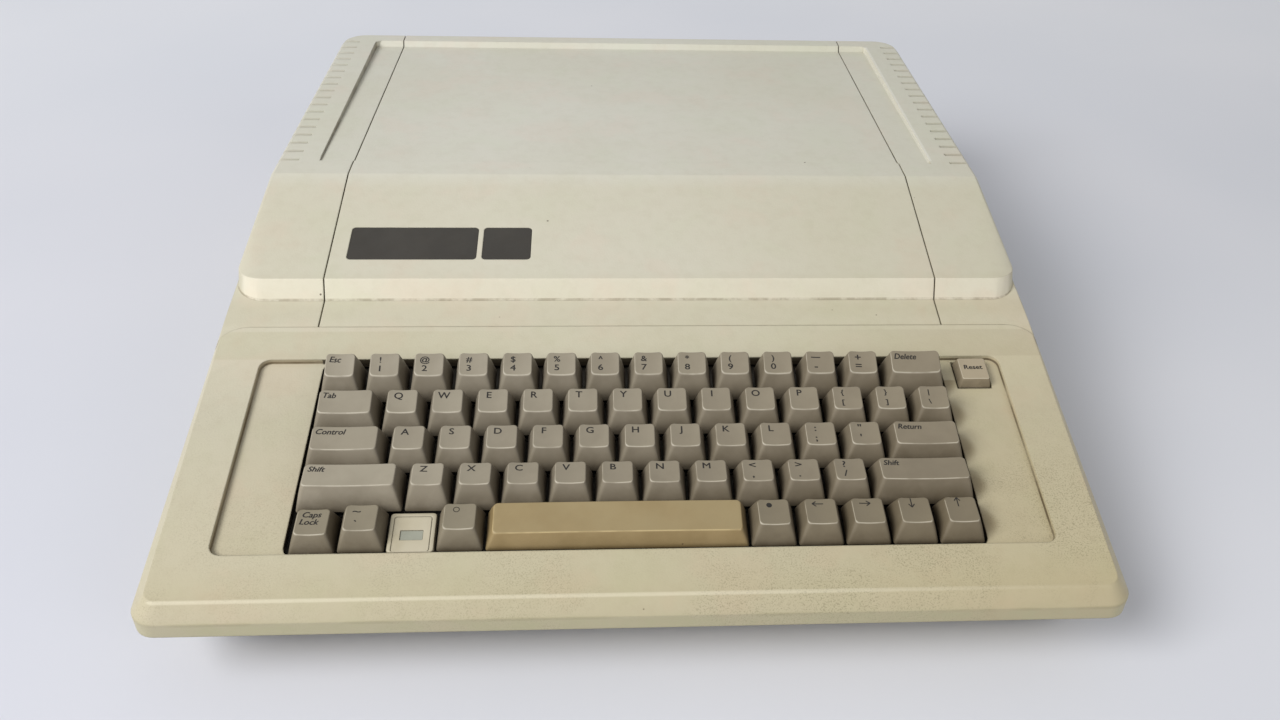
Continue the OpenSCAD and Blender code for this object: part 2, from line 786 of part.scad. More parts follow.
module key_switches() {
    rim_out = 0.8;
    rim = switch_w + 2 * rim_out;
    rim_t = 1.1;
    color(switch_tone) from_front() at_switches() difference() {
        union() {
            bar(0, -switch_w / 2, -switch_down, switch_w, switch_w, switch_down + switch_up);
            bar(0, -rim / 2, 0, rim, rim, rim_t);
        }
        bar(0, -switch_hole / 2, switch_floor - switch_down, switch_hole, switch_hole, far);
    }
}

module keyboard_frame() {
    hole_play = 0.1;
    hole = switch_w + 2 * hole_play;
    front_edge = 4;
    back_edge = 8;
    color(metal_tone) from_front() difference() {
        on_slab() bar(0, field_v - front_edge, -plate_drop - plate_t, 2 * frame_half,
            field_len + front_edge + back_edge, plate_t);
        at_switches() bar(0, -hole / 2, -far / 2, hole, hole, far);
    }
}

module keyboard_board() {
    edge = 1.5;
    back_v = reset_v + switch_w / 2 + edge;
    color(board_tone) from_front() on_slab()
        translate([-block_w / 2, rows_v, -key_board_drop - key_board_t])
            cube([block_w / 2 + reset_x + reset_w / 2, back_v - rows_v, key_board_t]);
}

lamp_plate_w = pitch - key_gap;
lamp_x = key_x(4, 2);
lamp_v0 = field_v + lamp_gap;

module lamp_plate() {
    color(lamp_tone) from_front() on_slab() difference() {
        bar(lamp_x, lamp_v0, -plate_drop, lamp_plate_w, lamp_plate_w, plate_drop + lamp_h);
        bar(lamp_x, lamp_v0 + lamp_front, -far / 2, lamp_w, lamp_len, far);
    }
}

module power_lamp() {
    play = 0.1;
    sunk = 0.4;
    color(lens_tone) from_front() on_slab()
        bar(lamp_x, lamp_v0 + lamp_front + play, -plate_drop, lamp_w - 2 * play, lamp_len - 2 * play,
            plate_drop + lamp_h - sunk);
}

// --- base, feet and screws ------------------------------------------------------------------

// The base's outline in plan, inset from the widest line, with its own start at the front
module base_outline(in, front) {
    r = case_r - in / 2;
    outline(case_half - in, case_half - in, front, case_d - in, r, r);
}

// A wall or flange between two of those outlines
module base_ring(in0, front0, in1, front1, z0, z1) {
    translate([0, 0, z0]) linear_extrude(z1 - z0) difference() {
        base_outline(in0, front0);
        base_outline(in1, front1);
    }
}

board_hole_in = 8;
board_hole_front = 12;
board_hole_back = 40;
board_holes = [for (x = [-1, 1], y = [board_hole_front, board_d - board_hole_back])
    [board_x + x * (board_w / 2 - board_hole_in), board_back_y - board_d + y]];

module at_screws() {
    both_sides() for (p = post_points) translate([p[0], p[1], 0]) children();
}

module at_board_holes() {
    for (p = board_holes) translate([p[0], p[1], 0]) children();
}

module base_pan() {
    inner = base_in + base_t;
    inner_front = base_front + base_t;
    slot_play = 1.4;
    thread_r = 1.3;
    screw_play = 0.35;
    head_play = 0.4;
    color(base_tone) from_front() difference() {
        union() {
            translate([0, 0, foot_h]) linear_extrude(base_t) base_outline(base_in, base_front);
            base_ring(base_in, base_front, inner, inner_front, foot_h, base_top_z);
            base_ring(flange_in, flange_in, inner, inner_front, base_top_z - flange_t, base_top_z);
            at_screws() translate([0, 0, foot_h]) cylinder(h = base_t + boss_h, r = boss_r);
            at_board_holes() translate([0, 0, foot_h]) cylinder(h = board_z - foot_h, r = board_post_r);
        }
        at_screws() {
            cylinder(h = far, r = screw_r + screw_play);
            cylinder(h = screw_seat_z, r = head_r + head_play);
        }
        at_board_holes() translate([0, 0, floor_z]) cylinder(h = far, r = thread_r);
        bar(0, case_d - far + over, panel_sill, 2 * (back_half + slot_play), far, far);
        base_vents();
    }
}

module base_vents() {
    count = 10;
    step = 16;
    side_in = 34;
    ahead = 21;
    len = 60;
    wide = 4;
    for (i = [0:count - 1]) bar(board_x - board_w / 2 + side_in + i * step,
        board_back_y - board_d - ahead, 0, wide, len, floor_z + eps);
}

module feet() {
    color(rubber_tone) from_front() for (p = foot_points) translate([p[0], p[1], 0])
        cylinder(h = foot_h, r = foot_r);
}

module case_screws() {
    slot_w = 1;
    slot_depth = 1;
    color(metal_tone) from_front() at_screws() difference() {
        union() {
            translate([0, 0, screw_seat_z - head_h]) cylinder(h = head_h, r = head_r);
            translate([0, 0, screw_seat_z - eps]) cylinder(h = screw_len, r = screw_r);
        }
        bar(0, -slot_w / 2, 0, 2 * head_r, slot_w, screw_seat_z - head_h + slot_depth);
    }
}

// --- back ------------------------------------------------------------------------------------

port_flange = 2;
port_clear = 0.6;
port_row_gap = 6;
port_side = 6;
port_top_z = back_top_z - lid_gap - catch_h - port_clear - port_flange - port_h / 2;
port_rows = [port_top_z, port_top_z - port_h - 2 * port_flange - port_row_gap];
port_x0 = board_x + port_side - (port_count - 1) * port_pitch / 2;
psu_mid_x = -psu_x + psu_w / 2;
inlet_up = 22;
inlet_side = 19;
rocker_side = 20;
speaker_side = 11;
inlet_z = floor_z + inlet_up;
inlet_x = psu_mid_x - inlet_side;
rocker_z = inlet_z;
rocker_x = psu_mid_x + rocker_side;
rocker_in = 4;
ear_gap = 0.5;
socket_up = 7;
socket_z = board_z + board_t + socket_up;
socket_d = 14;
socket_play = 0.6;
video_side = 32;
tape_side = 54;
tape_step = 14;
game_side = 46;
video_x = board_x - board_w / 2 + video_side;
tape_x = [for (i = [0, 1]) board_x - board_w / 2 + tape_side + i * tape_step];
game_x = board_x + board_w / 2 - game_side;
game_w = 32;
game_h = 10;

module at_ports() {
    for (z = port_rows, i = [0:port_count - 1])
        translate([port_x0 + i * port_pitch, 0, z]) children();
}

module rear_panel() {
    lip = 4;
    jack_hole_r = 5;
    side_lap = 1;
    color(metal_tone) from_front() difference() {
        bar(0, panel_y - panel_t, panel_sill, 2 * (back_half + side_lap), panel_t,
            back_top_z - lid_gap - panel_sill);
        translate([0, panel_y - far / 2, 0]) {
            at_ports() bar(0, 0, -port_h / 2, port_w, far, port_h);
            bar(psu_mid_x, 0, floor_z + lip, psu_w - 2 * lip, far, psu_h - 2 * lip);
            bar(game_x, 0, socket_z - game_h / 2 - socket_play, game_w + 2 * socket_play, far,
                game_h + 2 * socket_play);
        }
        for (x = concat([video_x], tape_x)) translate([x, panel_y - far / 2, socket_z])
            rotate([-90, 0, 0]) cylinder(h = far, r = jack_hole_r);
    }
}

module port_covers() {
    cover_t = 2;
    play = 0.2;
    color(cover_tone) from_front() translate([0, panel_y, 0]) at_ports() {
        bar(0, -panel_t - cover_t, -port_h / 2 - port_flange, port_w + 2 * port_flange, cover_t,
            port_h + 2 * port_flange);
        bar(0, -panel_t - eps, -port_h / 2 + play, port_w - 2 * play, panel_t - play,
            port_h - 2 * play);
    }
}

module power_supply() {
    front = psu_back_y - psu_len;
    window_play = 0.2;
    rocker_play = 1;
    color(metal_tone) from_front() {
        difference() {
            bar(psu_mid_x, front, floor_z, psu_w, psu_len, psu_h);
            bar(psu_mid_x, front + psu_t, floor_z + psu_t, psu_w - 2 * psu_t, psu_len - 2 * psu_t,
                psu_h - 2 * psu_t);
            bar(inlet_x, psu_back_y - far / 2, inlet_z - inlet_h / 2 - window_play,
                inlet_w + 2 * window_play, far, inlet_h + 2 * window_play);
            bar(rocker_x, psu_back_y - far / 2, rocker_z - rocker_h / 2 - rocker_play,
                rocker_w + rocker_play, far, rocker_h + 2 * rocker_play);
            psu_vents(front);
        }
        rocker_ears();
    }
}

module psu_vents(front) {
    count = 14;
    step = 13;
    end_in = 30;
    low = 14;
    wide = 4;
    tall = 34;
    for (i = [0:count - 1])
        bar(psu_mid_x + psu_w / 2, front + end_in + i * step, floor_z + low, far, wide, tall);
}

// The two ears behind the sheet that hold the rocker's pivot
module rocker_ears() {
    ear_t = 2;
    ear_h = 8;
    ear_d = 9;
    ear_x = rocker_w / 2 + ear_t / 2 + ear_gap;
    bore_play = 0.06;
    for (s = [-1, 1]) difference() {
        bar(rocker_x + s * ear_x, psu_back_y - ear_d, rocker_z - ear_h / 2, ear_t,
            ear_d - psu_t + eps, ear_h);
        translate([rocker_x, psu_back_y - rocker_in, rocker_z]) rotate([0, 90, 0])
            cylinder(h = far, r = rocker_pin_r + bore_play, center = true);
    }
}

module power_inlet() {
    lip = 2;
    shell = 2;
    blade_w = 2;
    blade_h = 4;
    blade_in = 6;
    blade_len = inlet_depth - blade_in;
    blade_y = lip - inlet_depth;
    spread = 7;
    ear_w = 3;
    pin_up = 1;
    color(black_tone) from_front() translate([inlet_x, psu_back_y, inlet_z]) {
        difference() {
            union() {
                bar(0, -inlet_depth, -inlet_h / 2, inlet_w, inlet_depth + eps, inlet_h);
                bar(0, 0, -inlet_h / 2 - lip, inlet_w + 2 * ear_w, lip, inlet_h + 2 * lip);
            }
            bar(0, 2 * lip - inlet_depth, -inlet_h / 2 + shell, inlet_w - 2 * shell, far,
                inlet_h - 2 * shell);
        }
        for (x = [-spread, spread]) bar(x, blade_y, -pin_up, blade_w, blade_len, blade_h);
        bar(0, blade_y, -blade_h, blade_w, blade_len, blade_h);
    }
}

module power_switch() {
    half = rocker_h / 2;
    root = 3;
    root_half = 4;
    skirt = 3.2;
    face = 6.6;
    dip = 5.2;
    pin_out = 1.7;
    color(black_tone) from_front() translate([rocker_x, psu_back_y - rocker_in, rocker_z])
        rotate([-rocker_tilt, 0, 0]) {
            across(rocker_w / 2, [[-root, -root_half], [-root, root_half], [skirt, half],
                [face, half], [dip, 0], [face, -half], [skirt, -half]]);
            rotate([0, 90, 0]) cylinder(h = rocker_w + 2 * (ear_gap + pin_out), r = rocker_pin_r,
                center = true);
        }
}

// --- inside -----------------------------------------------------------------------------------

module on_board() {
    translate([board_x, board_back_y - board_d, board_z + board_t]) children();
}

module logic_board() {
    hole_r = 1.8;
    color(board_tone) from_front() difference() {
        bar(board_x, board_back_y - board_d, board_z, board_w, board_d, board_t);
        at_board_holes() cylinder(h = far, r = hole_r);
    }
}

slot_back_in = 24;
slot_side_in = 22;
slot_y = board_d - slot_back_in - slot_len;
slot_x0 = -board_w / 2 + slot_side_in;

module expansion_slots() {
    wider = 14;
    color(slot_tone) from_front() on_board() {
        for (i = [0:slot_count - 1]) card_slot(slot_x0 + i * slot_pitch, slot_y, slot_len);
        card_slot(slot_x0 + 2 * slot_pitch, slot_y - slot_len - slot_side_in, slot_len + wider);
    }
}

module card_slot(x, y, d) {
    end_t = 4;
    groove_w = 2;
    groove_depth = 7;
    difference() {
        bar(x, y, 0, slot_w, d, slot_h);
        bar(x, y + end_t, slot_h - groove_depth, groove_w, d - 2 * end_t, far);
    }
}

// Blocks of chips, from the board's front edge:
// [first x, its step, count across, first y, its step, count back, width, depth]
chip_h = 4;
chip_blocks = [
    [board_w / 2 - 24, -12, 8, 22, 0, 1, 8, 20],
    [board_w / 2 - 30, -62, 2, 58, 24, 2, 52, 14],
    [board_w / 2 - 26, 0, 1, 122, 26, 3, 36, 14],
    [-board_w / 2 + 22, 14, 3, 26, 0, 1, 8, 22],
    [-board_w / 2 + 22, 15, 2, 64, 0, 1, 8, 26]
];

module logic_chips() {
    color(dark_tone) from_front() on_board()
        for (b = chip_blocks, i = [0:b[2] - 1], j = [0:b[5] - 1])
            bar(b[0] + i * b[1], b[3] + j * b[4], 0, b[6], b[7], chip_h);
}

module rear_sockets() {
    reach = panel_y - board_back_y;
    video_w = 12;
    video_r = 4.2;
    video_out = 4;
    tape_w = 10;
    tape_r = 3.6;
    tape_out = 0.6;
    tape_bore_r = 1.8;
    game_in = 2;
    game_out = 1;
    color(socket_tone) from_front() {
        jack(video_x, video_w, video_r, reach + video_out, 0);
        for (x = tape_x) jack(x, tape_w, tape_r, reach + tape_out, tape_bore_r);
        bar(game_x, board_back_y - socket_d, board_z + board_t, game_w, socket_d,
            socket_z - board_z - board_t + game_h / 2);
        bar(game_x, board_back_y - eps, socket_z - game_h / 2, game_w - 2 * game_in,
            reach + game_out, game_h);
    }
}

// A round jack: a block on the board and a barrel through the rear panel
module jack(x, w, r, reach, bore_r) {
    floor_t = 4;
    difference() {
        union() {
            bar(x, board_back_y - socket_d, board_z + board_t, w, socket_d, socket_d);
            translate([x, board_back_y - over, socket_z]) rotate([-90, 0, 0])
                cylinder(h = reach + over, r = r);
        }
        if (bore_r > 0) translate([x, board_back_y - socket_d + floor_t, socket_z])
            rotate([-90, 0, 0]) cylinder(h = far, r = bore_r);
    }
}

module speaker() {
    rim_h = 2;
    rim_in = 6;
    magnet_r = 16;
    magnet_h = 8;
    basket_z = 12;
    gap = 28.3;
    y = psu_back_y - psu_len - gap - speaker_r;
    color(dark_tone) from_front() translate([psu_mid_x + speaker_side, y, floor_z])
        rotate_extrude() polygon([[0, 0], [speaker_r, 0], [speaker_r, rim_h],
            [speaker_r - rim_in, magnet_h], [magnet_r, basket_z], [magnet_r, basket_z + magnet_h],
            [0, basket_z + magnet_h]]);
}

// The ribbon from a plug under the keyboard's board to one on the logic board
module keyboard_lead() {
    t = 1.2;
    plug_side = 2;
    plug_w = lead_w + 2 * plug_side;
    plug_d = 8;
    plug_v = rows_v + (len(ROWS) - 1) * pitch;
    plug_drop = 7;
    plug_top = 8.2;
    start_v = plug_v + plug_d / 2;
    start_drop = key_board_drop + plug_d;
    start_y = start_v * cos(slab_tilt) + start_drop * sin(slab_tilt);
    start_z = slab_z0 + start_v * sin(slab_tilt) - start_drop * cos(slab_tilt);
    end_y = board_back_y - board_d + plug_d;
    end_z = board_z + board_t + plug_d;
    drop_y = 12;
    drop_z = 9;
    sag_y = 30;
    sag_z = 12;
    turn_y = 8;
    turn_z = 3;
    tuck = 0.4;
    route = [[start_y, start_z], [start_y + drop_y, start_z - drop_z],
        [end_y - sag_y, end_z + sag_z], [end_y - turn_y, end_z + turn_z], [end_y, end_z - tuck]];
    upper = [for (p = route) [p[0], p[1] + t]];
    lower = [for (i = [len(route) - 1:-1:0]) route[i]];
    color(lead_tone) from_front() {
        across(lead_w / 2, concat(upper, lower));
        bar(0, end_y - plug_d / 2, board_z + board_t, plug_w, plug_d, plug_top);
        on_slab() bar(0, plug_v, -key_board_drop - key_board_t - plug_drop, plug_w, plug_d, plug_drop);
    }
}

top_case();
lid();
badge_plates();
lamp_plate();
power_lamp();
base_pan();
rear_panel();
port_covers();
feet();
case_screws();
power_supply();
power_inlet();
power_switch();
logic_board();
expansion_slots();
logic_chips();
rear_sockets();
speaker();
keyboard_frame();
keyboard_board();
key_switches();
keyboard_lead();
lid_catches();
for (name = KEY_NODES) {
    keys_named(name);
}
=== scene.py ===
import math

import bmesh
import bpy
from mathutils import Matrix, Vector


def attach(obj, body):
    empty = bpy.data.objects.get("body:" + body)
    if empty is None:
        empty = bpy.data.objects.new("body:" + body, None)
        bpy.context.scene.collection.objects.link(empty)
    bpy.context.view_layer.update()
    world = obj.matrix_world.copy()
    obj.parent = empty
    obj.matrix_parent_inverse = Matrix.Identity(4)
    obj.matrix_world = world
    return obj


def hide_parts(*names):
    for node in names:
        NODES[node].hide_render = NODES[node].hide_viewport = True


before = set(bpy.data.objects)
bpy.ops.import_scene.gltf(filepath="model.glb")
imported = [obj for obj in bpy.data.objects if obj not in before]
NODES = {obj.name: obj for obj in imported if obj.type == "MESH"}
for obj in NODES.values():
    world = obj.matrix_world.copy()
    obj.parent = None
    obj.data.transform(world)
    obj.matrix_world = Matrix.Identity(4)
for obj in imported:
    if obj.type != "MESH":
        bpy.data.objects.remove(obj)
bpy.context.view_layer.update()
scene = bpy.context.scene
scene.view_settings.view_transform = "Standard"

MM = 0.001
CASE_D = 457.0
TILT = math.radians(13.5)
# the height of the keyboard slope's plane at the very front of the case
SLAB_Z0 = 46 - 4.5 * math.tan(TILT)
# from the slab's millimetres (x across, y up the slope, z square to it) to the frame's metres
SLAB = (Matrix.Scale(MM, 4) @ Matrix.Translation((0, -CASE_D / 2, SLAB_Z0))
        @ Matrix.Rotation(TILT, 4, "X"))

# the keys, the sunken field and the well round them, in millimetres on the slab
PITCH_MM, GAP = 19.05, 0.9
ROW_UNITS = 14.5
BLOCK_W = ROW_UNITS * PITCH_MM
WELL_HALF = BLOCK_W / 2 + 1.6
FIELD_V = 23.8 / math.cos(TILT)
FIELD_HALF, FIELD_LEN, FIELD_R = 167.2, 101.5, 5.0
FIELD_END = FIELD_V + FIELD_LEN
ROWS_V = FIELD_V + 0.7
# the outlines of the slab and of the raised body behind it; START and END lie outside the case
SLAB_HALF, SLAB_START_V, SLAB_END_V, SLAB_BACK_R = 188.7, -20.0, 142 / math.cos(TILT), 13.0
BODY_HALF, BODY_FRONT_Y, BODY_END_Y, BODY_R = 188.6, 160.0, 460.0, 15.0
# the sunken top and the shallow step down into it, in millimetres from the front of the case
SUNK_HALF, SUNK_Y, STEP_Y = 163.5, (259.0, 437.0), (254.0, 257.3)

# --- camera ---------------------------------------------------------------------------------------
PICTURE_W, SENSOR_W = 1280, 36
FOCAL_PX, PP_X, PP_Y = 1147.9, 34.2, -48.6
CAM_AT = Vector((-16.4, -309.8 - CASE_D / 2, 366.8)) * MM
PITCH, YAW, ROLL = (math.radians(a) for a in (31.71, 4.34, 2.12))


def make_camera():
    level = math.cos(PITCH)
    fwd = Vector((math.sin(YAW) * level, math.cos(YAW) * level, -math.sin(PITCH)))
    side = Vector((math.cos(YAW), -math.sin(YAW), 0))
    up = side.cross(fwd)
    right = math.cos(ROLL) * side + math.sin(ROLL) * up
    top = -math.sin(ROLL) * side + math.cos(ROLL) * up
    cam = bpy.data.objects.new("camera", bpy.data.cameras.new("camera"))
    scene.collection.objects.link(cam)
    m = Matrix((right, top, -fwd)).transposed().to_4x4()
    m.translation = CAM_AT
    cam.matrix_world = m
    cam.data.sensor_fit = "HORIZONTAL"
    cam.data.sensor_width = SENSOR_W
    cam.data.lens = FOCAL_PX / PICTURE_W * SENSOR_W
    cam.data.shift_x = -PP_X / PICTURE_W
    cam.data.shift_y = PP_Y / PICTURE_W
    cam.data.clip_start = 0.01
    cam.data.clip_end = 50
    scene.camera = cam


make_camera()


# --- materials ------------------------------------------------------------------------------------
def lin(r, g, b):
    """A colour written as 0-255 display values."""
    def one(c):
        c /= 255
        return c / 12.92 if c <= 0.04045 else ((c + 0.055) / 1.055) ** 2.4
    return (one(r), one(g), one(b), 1)


class Mat:
    """A small builder for one procedural material on object coordinates, in metres."""

    def __init__(self, name):
        self.m = bpy.data.materials.new(name)
        self.m.use_nodes = True
        self.t = self.m.node_tree
        self.bsdf = self.t.nodes["Principled BSDF"]
        place = self.t.nodes.new("ShaderNodeTexCoord")
        self.coord, self.normal = place.outputs["Object"], place.outputs["Normal"]

    def give(self, socket, value):
        if isinstance(value, bpy.types.NodeSocket):
            self.t.links.new(value, socket)
        else:
            socket.default_value = value

    def node(self, kind, inputs=(), **props):
        n = self.t.nodes.new(kind)
        for name, value in props.items():
            setattr(n, name, value)
        for key, value in dict(inputs).items():
            self.give(n.inputs[key], value)
        return n

    def math(self, op, a, b=0.0, clamp=False):
        return self.node("ShaderNodeMath", {0: a, 1: b}, operation=op, use_clamp=clamp).outputs[0]

    def product(self, first, *rest):
        for r in rest:
            first = self.math("MULTIPLY", first, r)
        return first

    # masks
    def span(self, value, lo, hi, out_lo=0.0, out_hi=1.0, smooth=True):
        """out_lo under lo, running to out_hi over hi."""
        return self.node("ShaderNodeMapRange", {"Value": value, "From Min": lo, "From Max": hi,
                         "To Min": out_lo, "To Max": out_hi},
                         interpolation_type="SMOOTHSTEP" if smooth else "LINEAR").outputs[0]

    def below(self, value, lo, hi):
        """1 under lo, falling to 0 at hi."""
        return self.math("SUBTRACT", 1.0, self.span(value, lo, hi))

    def band(self, value, lo, hi, soft):
        """1 between lo and hi, running out over soft on either side."""
        return self.product(self.span(value, lo - soft, lo), self.below(value, hi, hi + soft))

    def noise(self, scale, detail, rough, vector=None):
        return self.node("ShaderNodeTexNoise", {"Vector": vector or self.coord, "Scale": scale,
                         "Detail": detail, "Roughness": rough}).outputs["Fac"]

    def patches(self, scale, lo, hi, out_lo=0.0, out_hi=1.0, detail=3.0, rough=0.6):
        """A noise cut into patches."""
        return self.span(self.noise(scale, detail, rough), lo, hi, out_lo, out_hi)

    def specks(self, scale, rare, core):
        """Round specks: rare says which cells hold one, core how large it is in its cell."""
        cells = self.node("ShaderNodeTexVoronoi", {"Vector": self.coord, "Scale": scale})
        part = self.node("ShaderNodeSeparateColor", {0: cells.outputs["Color"]})
        return self.product(self.span(part.outputs[0], *rare),
                            self.below(cells.outputs["Distance"], *core))

    def corner_dirt_and_shade(self, distance, lo, hi):
        """1 in a tight corner, 0 on an open face: the mask for dirt with painted shade in corners
        and gaps.
        """
        ao = self.node("ShaderNodeAmbientOcclusion", {"Distance": distance}, samples=6)
        return self.span(self.math("SUBTRACT", 1.0, ao.outputs["AO"], clamp=True), lo, hi)

    # colours
    def mix(self, fac, a, b, blend="MIX"):
        n = self.node("ShaderNodeMix", {0: fac, 6: a, 7: b}, data_type="RGBA", blend_type=blend)
        return n.outputs[2]

    def tint(self, tone, mask, rgb):
        """Multiplies the tone by a colour under the mask."""
        return self.mix(mask, tone, (*rgb, 1), "MULTIPLY")

    def coat(self, tone, mask, rgb, strength=None):
        """Lays a 0-255 colour over the tone under the mask."""
        if strength is not None:
            mask = self.product(mask, strength)
        return self.mix(mask, tone, lin(*rgb))

    def ramp(self, fac, stops):
        n = self.node("ShaderNodeValToRGB", {"Fac": fac})
        while len(n.color_ramp.elements) < len(stops):
            n.color_ramp.elements.new(0.5)
        for e, (at, rgb) in zip(n.color_ramp.elements, stops):
            e.position = at
            e.color = lin(*rgb)
        return n.outputs["Color"]

    # places
    def axes(self, vector=None):
        n = self.node("ShaderNodeSeparateXYZ", {0: vector or self.coord})
        return n.outputs[0], n.outputs[1], n.outputs[2]

    def turned(self, vector):
        """A vector's parts across, up and square to the keyboard slope."""
        return self.axes(self.node("ShaderNodeVectorRotate", {"Vector": vector, "Angle": -TILT},
                                   rotation_type="X_AXIS").outputs[0])

    def slab_axes(self):
        """x, v up the keyboard slope from the front lip, w over the slab, in metres."""
        x, v, w = self.turned(self.coord)
        up = (CASE_D / 2 * math.cos(TILT) - SLAB_Z0 * math.sin(TILT)) * MM
        over = (CASE_D / 2 * math.sin(TILT) + SLAB_Z0 * math.cos(TILT)) * MM
        return x, self.math("ADD", v, up), self.math("SUBTRACT", w, over)

    def edge_of(self, x, y, half_x, y0, y1, r):
        """Distance out from a rounded outline, in metres; the sizes are in millimetres."""
        qx = self.math("SUBTRACT", self.math("ABSOLUTE", x), (half_x - r) * MM)
        dy = self.math("ABSOLUTE", self.math("SUBTRACT", y, (y0 + y1) / 2 * MM))
        qy = self.math("SUBTRACT", dy, ((y1 - y0) / 2 - r) * MM)
        px, py = self.math("MAXIMUM", qx, 0.0), self.math("MAXIMUM", qy, 0.0)
        far = self.math("SQRT", self.math("ADD", self.product(px, px), self.product(py, py)))
        near = self.math("MINIMUM", self.math("MAXIMUM", qx, qy), 0.0)
        return self.math("SUBTRACT", self.math("ADD", far, near), r * MM)

    # relief
    def bump(self, height, strength, distance, normal=None):
        inputs = {"Height": height, "Strength": strength, "Distance": distance}
        if normal is not None:
            inputs["Normal"] = normal
        return self.node("ShaderNodeBump", inputs).outputs[0]

    def soft_edges(self, radius):
        return self.node("ShaderNodeBevel", {"Radius": radius}, samples=4).outputs[0]

    def done(self, colour, rough, normal, metallic=0.0, specular=0.5):
        for name, value in (("Base Color", colour), ("Roughness", rough), ("Normal", normal),
                            ("Metallic", metallic), ("IOR", 1.5), ("Specular IOR Level", specular)):
            self.give(self.bsdf.inputs[name], value)
        return self.m


# colours along the case from front to back, as shares of its depth: faces that look up, and sides;
# yellower and darker to the front, the darkening partly painted shade
TOP_STOPS = [(0.000, (183, 173, 144)), (0.015, (188, 179, 148)), (0.05, (192, 184, 156)),
             (0.20, (192, 186, 162)), (0.29, (202, 196, 172)), (0.34, (201, 195, 173)),
             (0.37, (207, 202, 183)), (0.50, (207, 202, 183)), (0.525, (212, 209, 194)),
             (1.000, (212, 210, 196))]
SIDE_STOPS = [(0.0, (190, 181, 152)), (0.35, (203, 197, 174)), (0.8, (212, 208, 193)),
              (1.0, (213, 209, 195))]


